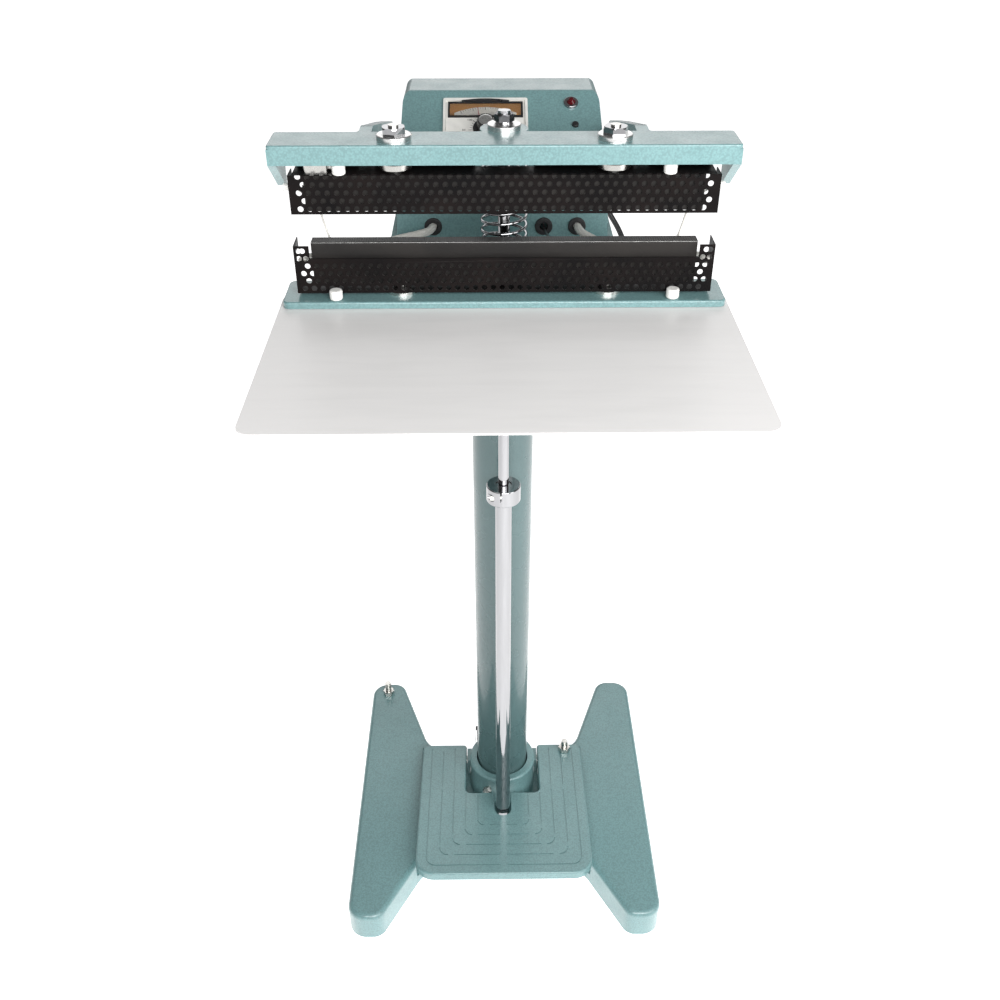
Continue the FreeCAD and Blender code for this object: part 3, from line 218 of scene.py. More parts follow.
# ---- materials ----------------------------------------------------------------------------------
class Look:
    """A node material: its shader's constants, and textures in the object's own coordinates."""

    def __init__(self, name, colour, roughness, metallic=0.0, **sockets):
        self.material = bpy.data.materials.new(name)
        self.material.use_nodes = True
        self.tree = self.material.node_tree
        self.shader = self.tree.nodes["Principled BSDF"]
        self.shader.inputs["Base Color"].default_value = (*colour, 1.0)
        self.shader.inputs["Roughness"].default_value = roughness
        self.shader.inputs["Metallic"].default_value = metallic
        for socket, value in sockets.items():
            self.shader.inputs[socket.replace("_", " ")].default_value = value
        self.place = self.tree.nodes.new("ShaderNodeTexCoord").outputs["Object"]
        self.height = None

    def link(self, a, b):
        self.tree.links.new(a, b)

    def stretched(self, scale):
        node = self.tree.nodes.new("ShaderNodeMapping")
        node.inputs["Scale"].default_value = scale
        self.link(self.place, node.inputs["Vector"])
        return node.outputs["Vector"]

    def noise(self, scale, detail=3.0, distortion=0.0, vector=None):
        node = self.tree.nodes.new("ShaderNodeTexNoise")
        node.inputs["Scale"].default_value = scale
        node.inputs["Detail"].default_value = detail
        node.inputs["Distortion"].default_value = distortion
        self.link(vector or self.place, node.inputs["Vector"])
        return node.outputs["Fac"]

    def cells(self, scale, smoothness):
        node = self.tree.nodes.new("ShaderNodeTexVoronoi")
        node.feature = "SMOOTH_F1"
        node.inputs["Scale"].default_value = scale
        node.inputs["Smoothness"].default_value = smoothness
        self.link(self.place, node.inputs["Vector"])
        return node.outputs["Distance"]

    def wave(self, scale, direction):
        node = self.tree.nodes.new("ShaderNodeTexWave")
        node.bands_direction = direction
        node.inputs["Scale"].default_value = scale
        self.link(self.place, node.inputs["Vector"])
        return node.outputs["Fac"]

    def ramp(self, value, stops):
        node = self.tree.nodes.new("ShaderNodeValToRGB")
        elements = node.color_ramp.elements
        while len(elements) < len(stops):
            elements.new(0.5)
        for element, (at, colour) in zip(elements, stops):
            element.position = at
            element.color = (*colour, 1.0)
        self.link(value, node.inputs["Fac"])
        return node.outputs["Color"]

    def grey(self, value, low, high, start=0.3, end=0.7):
        return self.ramp(value, [(start, (low,) * 3), (end, (high,) * 3)])

    def math(self, operation, a, b):
        node = self.tree.nodes.new("ShaderNodeMath")
        node.operation = operation
        for socket, value in zip(node.inputs, (a, b)):
            if isinstance(value, (int, float)):
                socket.default_value = value
            else:
                self.link(value, socket)
        return node.outputs["Value"]

    def mix(self, factor, a, b, blend="MIX"):
        node = self.tree.nodes.new("ShaderNodeMix")
        node.data_type = "RGBA"
        node.blend_type = blend
        for socket, value in zip((node.inputs[0], node.inputs[6], node.inputs[7]), (factor, a, b)):
            if isinstance(value, (int, float)):
                socket.default_value = value
            elif isinstance(value, tuple):
                socket.default_value = (*value, 1.0)
            else:
                self.link(value, socket)
        return node.outputs[2]

    def off_axis(self):
        """1 on faces turned away from X, Y and Z, such as walls of punched holes, and 0 on square ones."""
        place = self.tree.nodes.new("ShaderNodeTexCoord")
        size = self.tree.nodes.new("ShaderNodeVectorMath")
        size.operation = "ABSOLUTE"
        self.link(place.outputs["Normal"], size.inputs[0])
        parts = self.tree.nodes.new("ShaderNodeSeparateXYZ")
        self.link(size.outputs["Vector"], parts.inputs["Vector"])
        level = self.math("MAXIMUM", parts.outputs["X"], parts.outputs["Y"])
        largest = self.math("MAXIMUM", level, parts.outputs["Z"])
        return self.grey(largest, 1.0, 0.0, 0.94, 0.995)

    def colour(self, value):
        self.link(value, self.shader.inputs["Base Color"])

    def rough(self, value):
        self.link(value, self.shader.inputs["Roughness"])

    def bump(self, height, distance, strength=1.0):
        node = self.tree.nodes.new("ShaderNodeBump")
        node.inputs["Distance"].default_value = distance
        node.inputs["Strength"].default_value = strength
        self.link(height, node.inputs["Height"])
        if self.height is not None:
            self.link(self.height, node.inputs["Normal"])
        self.height = node.outputs["Normal"]
        self.link(self.height, self.shader.inputs["Normal"])


def shade(colour, factor):
    return tuple(min(1.0, c * factor) for c in colour)


def hammered_paint(name, colour, cell=620.0, depth=0.00016):
    """Hammer-finish enamel: small dimples with lighter hollows and broad, faint tone changes."""
    look = Look(name, colour, 0.34, Coat_Weight=0.6, Coat_Roughness=0.2)
    warped = look.noise(cell * 0.9, 2.0, 0.6)
    dimples = look.cells(cell, 0.75)
    relief = look.math("ADD", dimples, look.math("MULTIPLY", warped, 0.55))
    flecks = look.ramp(relief, [(0.32, shade(colour, 1.10)), (0.62, colour), (0.95, shade(colour, 0.84))])
    broad = look.grey(look.noise(7.0, 2.0), 0.93, 1.06)
    look.colour(look.mix(1.0, flecks, broad, "MULTIPLY"))
    look.rough(look.grey(look.noise(45.0, 3.0), 0.28, 0.44))
    look.bump(relief, depth, 0.55)
    return look.material


def smooth_paint(name, colour):
    """Gloss enamel on drawn tube with faint orange peel."""
    look = Look(name, colour, 0.24, Coat_Weight=0.35, Coat_Roughness=0.07)
    broad = look.grey(look.noise(5.0, 2.0), 0.92, 1.06)
    specks = look.ramp(look.noise(900.0, 2.0), [(0.35, shade(colour, 0.93)), (0.65, shade(colour, 1.05))])
    look.colour(look.mix(1.0, specks, broad, "MULTIPLY"))
    look.rough(look.grey(look.noise(30.0, 3.0), 0.22, 0.34))
    look.bump(look.noise(260.0, 2.0), 0.0001, 0.35)
    return look.material


def powder_coat(name, colour):
    """Pale powder coat with fine texture and faint rub marks across the table."""
    look = Look(name, colour, 0.38)
    rub = look.noise(60.0, 4.0, 0.4, look.stretched((0.25, 1.6, 1)))
    look.colour(look.ramp(rub, [(0.30, shade(colour, 0.965)), (0.62, colour)]))
    look.rough(look.grey(rub, 0.32, 0.46))
    look.bump(look.noise(1500.0, 2.0), 0.00005, 0.3)
    return look.material


def black_enamel(name):
    """Heat-proof black on perforated sheet, browned a little by heat, with the walls of the holes given a
    light grey as painted highlights for the glints on their rims.
    """
    colour = (0.006, 0.0055, 0.0058)
    look = Look(name, colour, 0.4, Specular_IOR_Level=0.05)
    heat = look.ramp(look.noise(24.0, 3.0, 0.3), [(0.35, colour), (0.72, (0.012, 0.009, 0.0085))])
    # painted highlight: faces turned off the X, Y and Z axes, the walls of the holes, get a light grey that
    # stands in for glints
    look.colour(look.mix(look.off_axis(), heat, (0.07, 0.066, 0.064)))
    look.rough(look.grey(look.noise(110.0, 3.0), 0.26, 0.48))
    look.bump(look.noise(700.0, 2.0), 0.00006, 0.35)
    return look.material


def plated(name, colour, low, high, streak=(1, 1, 1), bump=0.00002):
    """Bright plating with faint wipe marks, which streak stretches along one axis."""
    look = Look(name, colour, (low + high) / 2, metallic=1.0)
    marks = look.noise(120.0, 4.0, 0.2, look.stretched(streak))
    look.colour(look.ramp(marks, [(0.3, shade(colour, 0.92)), (0.65, colour)]))
    look.rough(look.grey(marks, low, high))
    look.bump(marks, bump, 0.3)
    return look.material


def turned_metal(name, colour):
    """Lathe-turned aluminium: fine rings about upright axes."""
    look = Look(name, colour, 0.3, metallic=1.0)
    lines = look.noise(420.0, 3.0, 0.0, look.stretched((0.35, 0.35, 6)))
    look.colour(look.ramp(lines, [(0.25, shade(colour, 0.86)), (0.7, colour)]))
    look.rough(look.grey(lines, 0.22, 0.4))
    look.bump(lines, 0.00004, 0.5)
    return look.material


def woven_cloth(name):
    """PTFE-coated glass cloth: fine plain weave under a dull film, browned by heat in patches."""
    colour = (0.016, 0.015, 0.0148)
    look = Look(name, colour, 0.42, Specular_IOR_Level=0.2)
    warp = look.wave(620.0, "X")
    weft = look.wave(620.0, "Z")
    weave = look.math("MULTIPLY", warp, weft)
    stains = look.noise(35.0, 3.0, 0.4, look.stretched((0.4, 1, 1)))
    base = look.ramp(stains, [(0.3, shade(colour, 0.8)), (0.75, (0.026, 0.023, 0.021))])
    look.colour(look.mix(1.0, base, look.grey(weave, 0.86, 1.12, 0.0, 0.8), "MULTIPLY"))
    look.rough(look.grey(stains, 0.34, 0.52))
    look.bump(weave, 0.00006, 0.5)
    return look.material


def glazed(name, colour):
    look = Look(name, colour, 0.2, Coat_Weight=0.4, Coat_Roughness=0.08)
    specks = look.noise(500.0, 3.0)
    look.colour(look.ramp(specks, [(0.28, shade(colour, 0.86)), (0.45, colour)]))
    look.rough(look.grey(specks, 0.15, 0.3))
    look.bump(look.noise(220.0, 2.0), 0.00005, 0.3)
    return look.material


def moulded(name, colour, low, high, grain=1400.0, depth=0.00004):
    """Moulded plastic or rubber with a fine grain and slight handling marks."""
    look = Look(name, colour, (low + high) / 2)
    marks = look.noise(60.0, 3.0, 0.3)
    look.colour(look.ramp(marks, [(0.3, shade(colour, 0.88)), (0.7, shade(colour, 1.08))]))
    look.rough(look.grey(marks, low, high))
    look.bump(look.noise(grain, 2.0), depth, 0.4)
    return look.material


def glass_braid(name, colour):
    """Woven glass sleeve: off-white threads, with painted shade making them a little darker in the hollows
    of the thread bump.
    """
    look = Look(name, colour, 0.6, Sheen_Weight=0.3, Sheen_Roughness=0.4)
    threads = look.noise(1800.0, 3.0, 0.5)
    soil = look.grey(look.noise(40.0, 2.0), 0.9, 1.03)
    # painted shade: the low points of the thread bump are darkened
    thread_hollow_shade = look.ramp(threads, [(0.3, shade(colour, 0.82)), (0.6, colour)])
    look.colour(look.mix(1.0, thread_hollow_shade, soil, "MULTIPLY"))
    look.rough(look.grey(threads, 0.5, 0.75))
    look.bump(threads, 0.00008, 0.5)
    return look.material


def tinted_lens(name, colour):
    look = Look(name, colour, 0.08, Transmission_Weight=0.3, IOR=1.49)
    swirl = look.noise(300.0, 2.0)
    look.colour(look.ramp(swirl, [(0.3, shade(colour, 0.7)), (0.7, colour)]))
    look.rough(look.grey(swirl, 0.05, 0.14))
    return look.material


def clear_window(name):
    look = Look(name, (0.98, 0.98, 0.98), 0.03, Transmission_Weight=1.0, IOR=1.46)
    look.rough(look.grey(look.noise(80.0, 3.0), 0.02, 0.07))
    return look.material


def printed(name, colour):
    """Ink or printed card, very slightly uneven."""
    look = Look(name, colour, 0.5)
    fibres = look.noise(900.0, 2.0)
    look.colour(look.ramp(fibres, [(0.3, shade(colour, 0.9)), (0.7, colour)]))
    look.rough(look.grey(fibres, 0.42, 0.6))
    look.bump(fibres, 0.00002, 0.3)
    return look.material


TEAL = (0.162, 0.296, 0.302)
LOOKS = {
    "teal_paint": hammered_paint("teal_hammered", TEAL),
    # painted shade: the column's teal is darkened to 0.42 of the other teal to stand in for the shadow under
    # the table
    "column_paint": smooth_paint("column_enamel_painted_shade", shade(TEAL, 0.42)),
    "white_paint": powder_coat("table_powder_coat", (0.80, 0.785, 0.775)),
    "black_paint": black_enamel("guard_enamel"),
    "zinc_steel": plated("bright_zinc", (0.66, 0.65, 0.62), 0.16, 0.34),
    "chrome": plated("chrome_plate", (0.38, 0.38, 0.39), 0.035, 0.10, (2.5, 2.5, 0.15), 0.00001),
    "aluminium": turned_metal("turned_aluminium", (0.80, 0.80, 0.79)),
    "black_cloth": woven_cloth("release_cloth"),
    "ceramic": glazed("glazed_ceramic", (0.86, 0.85, 0.82)),
    "white_plastic": moulded("white_moulding", (0.80, 0.79, 0.75), 0.3, 0.45),
    "black_plastic": moulded("black_moulding", (0.018, 0.018, 0.019), 0.25, 0.42),
    "black_rubber": moulded("black_rubber", (0.016, 0.016, 0.017), 0.38, 0.58, 900.0, 0.00006),
    "white_braid": glass_braid("glass_braid", (0.82, 0.80, 0.75)),
    "grey_wire": plated("steel_overbraid", (0.30, 0.30, 0.31), 0.3, 0.5, (1, 1, 1), 0.00005),
    # painted reflection: this dark plating, given to the pull rod nut, stands in for the dark reflections on
    # its chrome
    "black_plated": plated("dark_plating_painted_reflection", (0.10, 0.10, 0.105), 0.2, 0.34),
    "red_lens": tinted_lens("red_lens", (0.13, 0.006, 0.010)),
}


# the pull rod nut takes the dark plating as a painted reflection
NODE_LOOKS = {"upper_heater_block": "black_cloth", "pull_rod_nut": "black_plated"}


def paint_cad_nodes():
    slots = {part["node"]: part["material_slot"] for part in frame["record"]["subparts"]}
    for name, node in frame["nodes"].items():
        for place in node.material_slots:
            place.material = LOOKS[NODE_LOOKS.get(name, slots[name])]


paint_cad_nodes()


def finish_piece(piece, body, slot, look=None):
    piece.data.materials.clear()
    piece.data.materials.append(look or LOOKS[slot])
    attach(piece, body)
    return piece


cord.data.materials.append(LOOKS["black_rubber"])


# ---- return spring ------------------------------------------------------------------------------
SPRING_AXIS_Y = -0.0455
SPRING_FOOT = 0.722
SPRING_HEAD = 0.830
SPRING_RADIUS = 0.0185
SPRING_WIRE = 0.0012
SPRING_TURNS = 14.0
SPRING_STEPS = 40
CLOSED_TURNS = 0.9
CLOSED_RISE = 0.022


def spring_rise(share):
    """Share of the spring's height reached after a share of its turns, flat at both closed ends."""
    closed = CLOSED_TURNS / SPRING_TURNS
    if share < closed:
        return CLOSED_RISE * share / closed
    if share > 1 - closed:
        return 1 - CLOSED_RISE + CLOSED_RISE * (share - 1 + closed) / closed
    return CLOSED_RISE + (1 - 2 * CLOSED_RISE) * (share - closed) / (1 - 2 * closed)


def make_spring():
    """Open coil with closed end turns, carried on the stand."""
    height = SPRING_HEAD - SPRING_FOOT - 2 * SPRING_WIRE
    path = []
    total = int(SPRING_TURNS * SPRING_STEPS)
    for k in range(total + 1):
        angle = 2 * math.pi * SPRING_TURNS * k / total
        x = SPRING_RADIUS * math.cos(angle)
        y = SPRING_AXIS_Y + SPRING_RADIUS * math.sin(angle)
        path.append(Vector((x, y, SPRING_FOOT + SPRING_WIRE + height * spring_rise(k / total))))
    spring = sweep("return_spring_coil", path, 10, lambda s, a: SPRING_WIRE)
    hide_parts("return_spring")
    finish_piece(spring, "stand", "chrome")
    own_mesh(spring)


# ---- wires --------------------------------------------------------------------------------------
SLEEVE_END_MM = [(131, -38.5, 739), (147, -52, 742), (158, -61, 746), (164, -67, 747.5), (164.4, -75, 748)]
SLEEVE_LEFT_MM = [(-62.7, 44, 736), (-62.7, 26, 736), (-74, 10, 738), (-92, -6, 740),
                  (-112, -22, 740)] + [(-x, y, z) for x, y, z in SLEEVE_END_MM]
SLEEVE_RIGHT_MM = [(67.5, 44, 736), (67.5, 26, 736), (77, 11, 734), (94, -6, 733),
                   (113, -23, 735)] + SLEEVE_END_MM
THERMOCOUPLE_MM = [(37.4, 44, 736), (37.4, 24, 735), (46, 2, 731), (57, -18, 728.5), (66, -38, 730),
                   (69, -54, 736), (69.5, -65.5, 744)]
UPPER_LEAD_MM = [(160.8, -73, 807), (163.4, -73, 806.8), (163.7, -66, 804.5), (157.5, -58.5, 797),
                 (149.5, -55, 785), (146.5, -54, 770), (143.5, -51.5, 757), (140.5, -48, 749.8),
                 (136.5, -43.6, 744.6)]
BEAD_MM = [(166.6, -77, 810), (169, -77, 810), (172.2, -77, 810)]
LEAD_RADIUS = 0.0009
BEAD_RADIUS = 0.0031
SLEEVE_RADIUS = 0.0033
SLEEVE_STEP = 0.0006
SLEEVE_SIDES = 56
BRAID_DEPTH = 0.00028
BRAID_PITCH = 0.0105
BRAID_STRANDS = 8


def braid_surface(distance, angle):
    """Two families of crossing strands round a sleeve."""
    turn = 2 * math.pi * distance / BRAID_PITCH
    one = math.cos(BRAID_STRANDS * (angle - turn / BRAID_STRANDS))
    other = math.cos(BRAID_STRANDS * (angle + turn / BRAID_STRANDS))
    over = math.cos(BRAID_STRANDS * angle) * math.cos(turn)
    return SLEEVE_RADIUS + BRAID_DEPTH * (max(one, other) * 0.7 + 0.3 * over)


def make_sleeves():
    for side, points in (("left", SLEEVE_LEFT_MM), ("right", SLEEVE_RIGHT_MM)):
        path = even_path(spline_path(in_metres(points)), SLEEVE_STEP)
        sleeve = sweep("heater_sleeve_" + side, path, SLEEVE_SIDES, braid_surface)
        finish_piece(sleeve, "stand", "white_braid")
    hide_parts("heater_sleeves")


def make_thermocouple():
    lead = round_tube("thermocouple_wire", in_metres(THERMOCOUPLE_MM), LEAD_RADIUS)
    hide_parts("thermocouple_lead")
    finish_piece(lead, "stand", "grey_wire")


def make_upper_lead(side, sign):
    """Thin lead from the upper bar's end down towards the stand, with a ceramic bead carried on the arm."""
    across = Vector((sign, 1, 1))
    lead = round_tube("upper_lead_" + side, [p * across for p in in_metres(UPPER_LEAD_MM)], LEAD_RADIUS)
    lead.data.materials.append(LOOKS["white_braid"])
    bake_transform(lead)
    bead = round_tube("lead_bead_" + side, [p * across for p in in_metres(BEAD_MM)], BEAD_RADIUS, 0.001, 24)
    finish_piece(bead, "upper_arm", "ceramic")
    return lead


def make_upper_leads():
    right = make_upper_lead("right", 1)
    make_upper_lead("left", -1)
    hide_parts("upper_heater_leads")


TIE_HALF = 0.0035
TIE_THICKNESS = 0.0006
TIE_INNER_X = -0.0263
TIE_OUTER_X = -0.0337
TIE_TOP = 0.0366
TIE_STEPS = 6


def make_cord_tie():
    """Flat strap round all the turns of the coil at its left."""
    section = [(TIE_INNER_X, 0.0), (TIE_INNER_X, TIE_TOP), (TIE_OUTER_X, TIE_TOP), (TIE_OUTER_X, 0.0)]
    path = []
    for (x0, z0), (x1, z1) in zip(section, section[1:] + section[:1]):
        steps = [k / TIE_STEPS for k in range(TIE_STEPS)]
        path += [(x0 + (x1 - x0) * share, z0 + (z1 - z0) * share) for share in steps]
    centre = Vector(((TIE_INNER_X + TIE_OUTER_X) / 2, TIE_TOP / 2))
    vertices = []
    for x, z in path:
        inside = Vector((x, z)) - centre
        outside = centre + inside * (1 + TIE_THICKNESS / max(abs(inside.x), abs(inside.y)))
        for y in (COIL_CENTRE.y - TIE_HALF, COIL_CENTRE.y + TIE_HALF):
            vertices += [(x, y, z), (outside.x, y, max(0.0, outside.y))]
    faces = []
    for k in range(len(path)):
        a = 4 * k
        b = 4 * ((k + 1) % len(path))
        faces += [(a, b, b + 2, a + 2), (a + 1, a + 3, b + 3, b + 1)]
        faces += [(a, a + 1, b + 1, b), (a + 2, b + 2, b + 3, a + 3)]
    finish_piece(add_mesh("cord_tie", vertices, faces, smooth=False), "stand", "black_plastic")


# ---- release cloth ------------------------------------------------------------------------------
CLOTH_THICKNESS = 0.0003
CLOTH_BEND = 0.0012
CLOTH_REAR_FALL = 0.021
SERRATION_PITCH = 0.0019
SERRATION_DEPTH = 0.00035
SERRATION_STEPS = 4
SLACK_DEPTH = 0.00006
FRONT_ROWS = 14
BEND_ROWS = 5
TOP_ROWS = 8
REAR_ROWS = 7


def cloth_profile(front, rear, foot, top):
    """Section of the cloth as (y, z, share of the serration), up the front, over the bar and down."""
    profile = []
    for k in range(FRONT_ROWS + 1):
        profile.append((front, foot + (top - CLOTH_BEND - foot) * k / FRONT_ROWS, 0.0))
    turns = [math.pi / 2 * k / BEND_ROWS for k in range(1, BEND_ROWS)]
    bend = [(CLOTH_BEND * (1 - math.cos(turn)), CLOTH_BEND * (1 - math.sin(turn))) for turn in turns]
    for inward, down in bend:
        profile.append((front + inward, top - down, 0.0))
    for k in range(TOP_ROWS + 1):
        y = front + CLOTH_BEND + (rear - front - 2 * CLOTH_BEND) * k / TOP_ROWS
        profile.append((y, top, 1.0 if 0 < k < TOP_ROWS else 0.4))
    for down, inward in bend:
        profile.append((rear - inward, top - down, 0.0))
    for k in range(REAR_ROWS + 1):
        profile.append((rear, top - CLOTH_BEND - CLOTH_REAR_FALL * k / REAR_ROWS, 0.0))
    return profile


def make_cloth():
    """Cloth over the lower bar: serrated along the top, smooth and slightly slack down the front."""
    low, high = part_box("lower_cloth")
    top = high.z - CLOTH_THICKNESS
    front = low.y + CLOTH_THICKNESS
    rear = high.y - CLOTH_THICKNESS
    profile = cloth_profile(front, rear, low.z, top)
    width = high.x - low.x
    columns = int(width / (SERRATION_PITCH / SERRATION_STEPS))
    vertices = []
    for i in range(columns + 1):
        x = low.x + width * i / columns
        tooth = 0.5 - 0.5 * math.cos(2 * math.pi * i / SERRATION_STEPS)
        slack = SLACK_DEPTH * (math.sin(61 * x) + math.sin(143 * x + 1.3))
        for y, z, serrated in profile:
            fall = (top - z) / (top - low.z)
            lift = slack * math.sin(math.pi * fall)
            vertices.append((x, y + lift, z - SERRATION_DEPTH * tooth * serrated))
    rows = len(profile)
    faces = [(i * rows + j, (i + 1) * rows + j, (i + 1) * rows + j + 1, i * rows + j + 1)
             for i in range(columns) for j in range(rows - 1)]
    cloth = add_mesh("release_cloth", vertices, faces)
    solid = cloth.modifiers.new("thickness", "SOLIDIFY")
    solid.thickness = CLOTH_THICKNESS
    solid.offset = 1
    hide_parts("lower_cloth")
    finish_piece(cloth, "stand", "black_cloth")


# ---- dial ---------------------------------------------------------------------------------------
PANEL_FOOT = Vector((0, 0.035, 0.770))
PANEL_RISE = 0.059
PANEL_RUN = 0.105
PANEL_ANGLE = math.atan2(PANEL_RISE, PANEL_RUN)
PANEL_UP = Vector((0, math.cos(PANEL_ANGLE), math.sin(PANEL_ANGLE)))
PANEL_OUT = Vector((0, -math.sin(PANEL_ANGLE), math.cos(PANEL_ANGLE)))
DIAL_X = -0.0147
DIAL_FOOT = 0.048
KNOB_UP = 0.070
KNOB_UP_ON_DIAL = KNOB_UP - DIAL_FOOT
WINDOW_LOW = 0.0373
WINDOW_HIGH = 0.0545
WINDOW_HALF = 0.0338
WINDOW_EDGE = 0.0009
SCALE_RADIUS = 0.060
SCALE_CENTRE_UP = WINDOW_LOW + 0.0125 - SCALE_RADIUS
ARC_HALF_ANGLE = 0.50
TICKS_HALF_ANGLE = 0.40
NEEDLE_ANGLE = -0.12
HOOD_HALF = 0.022
KNOB_SWEEP = 280


def on_dial(x, up, out):
    return PANEL_FOOT + PANEL_UP * (DIAL_FOOT + up) + PANEL_OUT * out + Vector((DIAL_X + x, 0, 0))


def dial_shape(name, outline, out, thickness, look):
    """Thin plate on the dial whose outline is given as (x, up)."""
    count = len(outline)
    vertices = [on_dial(x, up, out) for x, up in outline]
    vertices += [on_dial(x, up, out + thickness) for x, up in outline]
    faces = [tuple(range(count))[::-1], tuple(range(count, 2 * count))]
    faces += [(k, (k + 1) % count, count + (k + 1) % count, count + k) for k in range(count)]
    plate = add_mesh(name, vertices, faces, smooth=False)
    return finish_piece(plate, "stand", "white_plastic", look)


def strip_shape(name, segments, out, thickness, look):
    """Many thin bars on the dial in one piece, each segment given as (x0, up0, x1, up1, width)."""
    vertices = []
    faces = []
    for x0, up0, x1, up1, width in segments:
        along = Vector((x1 - x0, up1 - up0)).normalized()
        side = Vector((-along.y, along.x)) * width / 2
        corners = [(x0 + side.x, up0 + side.y), (x1 + side.x, up1 + side.y),
                   (x1 - side.x, up1 - side.y), (x0 - side.x, up0 - side.y)]
        start = len(vertices)
        vertices += [on_dial(x, up, out) for x, up in corners]
        vertices += [on_dial(x, up, out + thickness) for x, up in corners]
        faces += [(start + 3, start + 2, start + 1, start), (start + 4, start + 5, start + 6, start + 7)]
        faces += [(start + k, start + (k + 1) % 4, start + 4 + (k + 1) % 4, start + 4 + k) for k in range(4)]
    plate = add_mesh(name, vertices, faces, smooth=False)
    return finish_piece(plate, "stand", "white_plastic", look)


def on_circle(angle, radius, centre_up):
    """(x, up) on the dial, at an angle from straight up."""
    return radius * math.sin(angle), centre_up + radius * math.cos(angle)


def radial_bar(angle, start, end, width, centre_up):
    """Segment from radius start to radius end, for strip_shape."""
    return (*on_circle(angle, start, centre_up), *on_circle(angle, end, centre_up), width)


def dial_number(text, x, up, out, size, look):
    data = bpy.data.curves.new("dial_number_" + text, "FONT")
    data.body = text
    data.size = size
    data.align_x = "CENTER"
    data.align_y = "CENTER"
    data.extrude = 0.00003
    number = bpy.data.objects.new("dial_number_" + text, data)
    bpy.context.collection.objects.link(number)
    rotation = Matrix((Vector((1, 0, 0)), PANEL_UP, PANEL_OUT)).transposed()
    number.matrix_world = Matrix.Translation(on_dial(x, up, out)) @ rotation.to_4x4()
    finish_piece(number, "stand", "white_plastic", look)


def rectangle(half, low, high):
    return [(-half, low), (half, low), (half, high), (-half, high)]


def make_scale(ink):
    """Amber ground with a pale arc, ticks and a red needle."""
    amber = printed("amber_card", (0.55, 0.27, 0.09))
    card = printed("white_card", (0.80, 0.78, 0.72))
    red = printed("red_ink", (0.45, 0.02, 0.015))
    dial_shape("scale_ground", rectangle(WINDOW_HALF, WINDOW_LOW, WINDOW_HIGH), 0.0003, 0.0003, amber)
    steps = 28
    arc = [on_circle(ARC_HALF_ANGLE * (2 * k / steps - 1), SCALE_RADIUS, SCALE_CENTRE_UP)
           for k in range(steps + 1)]
    foot = WINDOW_LOW + 0.0003
    dial_shape("scale_arc", [(arc[0][0], foot)] + arc + [(arc[-1][0], foot)], 0.0006, 0.0002, card)
    ticks = []
    for k in range(21):
        long = k % 5 == 0
        angle = TICKS_HALF_ANGLE * (k / 10 - 1)
        start = SCALE_RADIUS - (0.0035 if long else 0.002)
        width = 0.0004 if long else 0.00022
        ticks.append(radial_bar(angle, start, SCALE_RADIUS * 0.992, width, SCALE_CENTRE_UP))
    strip_shape("scale_ticks", ticks, 0.0008, 0.0001, ink)
    needle = radial_bar(NEEDLE_ANGLE, SCALE_RADIUS - 0.0105, SCALE_RADIUS, 0.0005, SCALE_CENTRE_UP)
    strip_shape("scale_needle", [needle], 0.0012, 0.0002, red)


def make_window_edge(ink):
    side, width = WINDOW_HALF, 2 * WINDOW_EDGE
    reach = side + WINDOW_EDGE
    bars = [(-reach, WINDOW_LOW, reach, WINDOW_LOW, width), (-reach, WINDOW_HIGH, reach, WINDOW_HIGH, width),
            (-side, WINDOW_LOW, -side, WINDOW_HIGH, width), (side, WINDOW_LOW, side, WINDOW_HIGH, width)]
    strip_shape("window_edge", bars, 0.0012, 0.0012, ink)


def make_knob_marks(ink):
    """Ring of marks round the knob, with a number at every fourth."""
    marks = []
    for k in range(25):
        long = k % 4 == 0
        angle = math.radians(KNOB_SWEEP * (k / 24 - 0.5))
        end = 0.0158 if long else 0.0148
        width = 0.00045 if long else 0.00028
        marks.append(radial_bar(angle, 0.0128, end, width, KNOB_UP_ON_DIAL))
    strip_shape("knob_marks", marks, 0.0012, 0.0001, ink)
    for k in range(7):
        angle = math.radians(KNOB_SWEEP * (k / 6 - 0.5))
        reach = 0.0192 if k in (0, 6) else 0.0186
        x = reach * math.sin(angle) * 1.08
        up = KNOB_UP_ON_DIAL + reach * math.cos(angle) * 0.9
        dial_number(str(k * 50), x, up, 0.0013, 0.0032, ink)


def make_window():
    """Clear pane over the scale and the small black hood above it."""
    pane = rectangle(WINDOW_HALF - WINDOW_EDGE, WINDOW_LOW + WINDOW_EDGE, WINDOW_HIGH - WINDOW_EDGE)
    dial_shape("scale_window", pane, 0.0019, 0.0004, clear_window("scale_glass"))
    foot = WINDOW_HIGH + 0.0003
    crown = [HOOD_HALF * (1 - k / 10) for k in range(21)]
    dome = [(x, WINDOW_HIGH + 0.0006 + 0.0022 * math.cos(math.pi * x / (2 * HOOD_HALF))) for x in crown]
    hood = [(-HOOD_HALF, foot), (HOOD_HALF, foot)] + dome
    dial_shape("window_hood", hood, 0.0014, 0.0030, LOOKS["black_plastic"])


def make_dial():
    ink = printed("black_ink", (0.012, 0.012, 0.012))
    make_scale(ink)
    make_window_edge(ink)
    make_knob_marks(ink)
    make_window()


CAP_RINGS = [(0.0, 0.0136), (0.0050, 0.0136), (0.0062, 0.0133), (0.0068, 0.0127), (0.0068, 0.0122)]
CAP_STEPS = 48


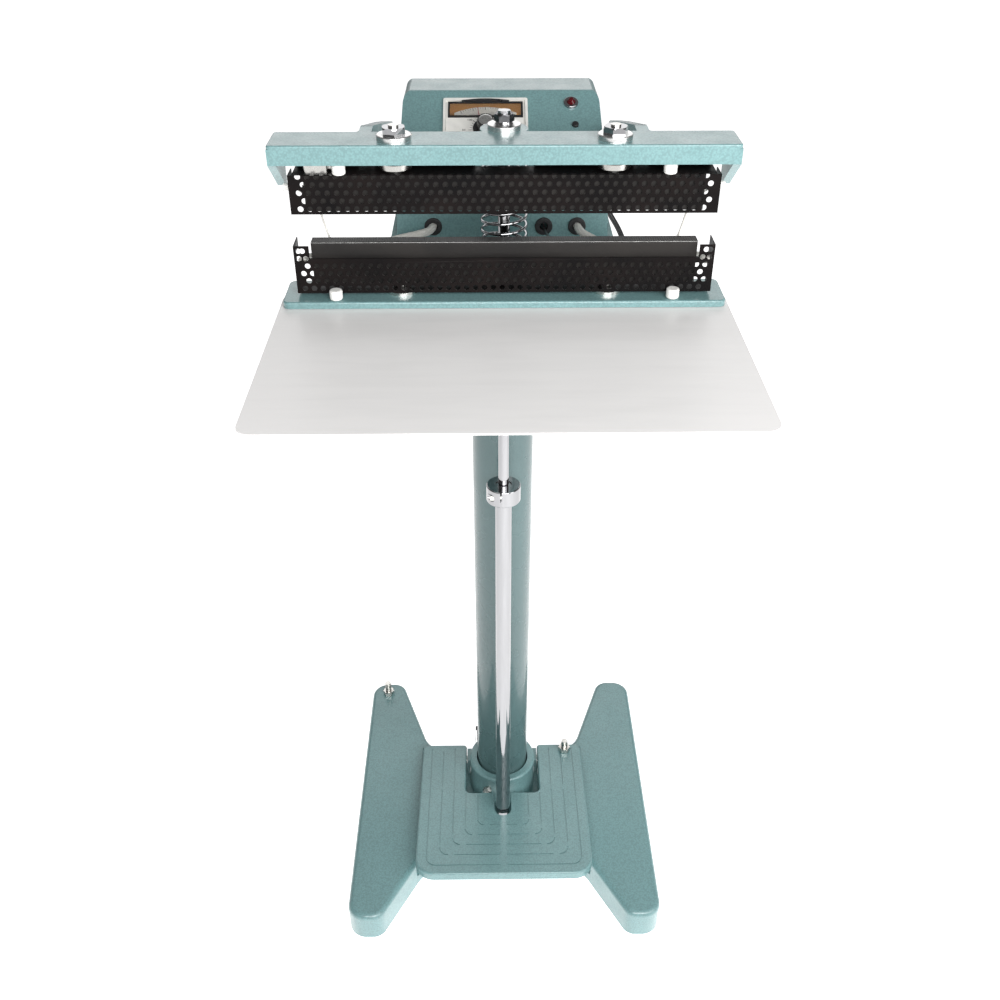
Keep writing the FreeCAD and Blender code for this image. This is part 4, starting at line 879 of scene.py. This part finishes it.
def make_knob_cap():
    """Pale domed cap on the knob, which turns with it."""
    look = turned_metal("knob_cap_metal", (0.78, 0.78, 0.76))
    centre = PANEL_FOOT + PANEL_UP * KNOB_UP + Vector((DIAL_X, 0, 0))
    vertices = []
    for radius, out in CAP_RINGS:
        for k in range(CAP_STEPS):
            angle = 2 * math.pi * k / CAP_STEPS
            across = Vector((1, 0, 0)) * radius * math.cos(angle) + PANEL_UP * radius * math.sin(angle)
            vertices.append(centre + across + PANEL_OUT * out)
    faces = []
    for ring in range(len(CAP_RINGS) - 1):
        for k in range(CAP_STEPS):
            a = ring * CAP_STEPS + k
            b = ring * CAP_STEPS + (k + 1) % CAP_STEPS
            faces.append((a, b, b + CAP_STEPS, a + CAP_STEPS))
    cap = add_mesh("knob_cap", vertices, faces)
    weld = bmesh.new()
    weld.from_mesh(cap.data)
    bmesh.ops.remove_doubles(weld, verts=weld.verts, dist=1e-6)
    bmesh.ops.recalc_face_normals(weld, faces=weld.faces)
    weld.to_mesh(cap.data)
    weld.free()
    finish_piece(cap, "temperature_knob", "aluminium", look)


make_spring()
make_sleeves()
make_thermocouple()
make_upper_leads()
make_cord_tie()
make_cloth()
make_dial()
make_knob_cap()


# ---- stage --------------------------------------------------------------------------------------
FLOOR_HALF = 6.0
FLOOR_DROP = 0.0005


def make_floor():
    corners = [(x, y, 0) for x, y in rectangle(FLOOR_HALF, -FLOOR_HALF, FLOOR_HALF)]
    floor = add_mesh("floor", corners, [(0, 1, 2, 3)], smooth=False)
    floor.location.z = -FLOOR_DROP
    look = Look("floor_pale", (0.93, 0.93, 0.93), 0.6, Emission_Strength=0.95)
    look.shader.inputs["Emission Color"].default_value = (1.0, 1.0, 1.0, 1.0)
    floor.data.materials.append(look.material)


def area_light(name, at, target, size, power):
    data = bpy.data.lights.new(name, "AREA")
    data.shape = "RECTANGLE"
    data.size, data.size_y = size
    data.energy = power
    lamp = bpy.data.objects.new(name, data)
    lamp.location = at
    lamp.rotation_euler = (Vector(target) - Vector(at)).to_track_quat("-Z", "Y").to_euler()
    bpy.context.collection.objects.link(lamp)


def make_light():
    """Pale studio: a wide soft light over the camera, a key at the right and a light from behind."""
    world = bpy.data.worlds.new("studio")
    world.use_nodes = True
    background = world.node_tree.nodes["Background"]
    background.inputs["Color"].default_value = (1.0, 1.0, 1.0, 1.0)
    background.inputs["Strength"].default_value = 0.18
    bpy.context.scene.world = world
    bpy.context.scene.view_settings.view_transform = "Standard"
    area_light("front", (0.25, -1.35, 1.28), (0, 0, 0.78), (1.3, 0.7), 30)
    area_light("key", (1.3, -0.9, 1.0), (0.1, 0, 0.3), (0.6, 1.2), 10)
    area_light("back", (0.0, 1.9, 1.65), (0, 0, 0.8), (2.8, 1.1), 14)


make_floor()
make_light()
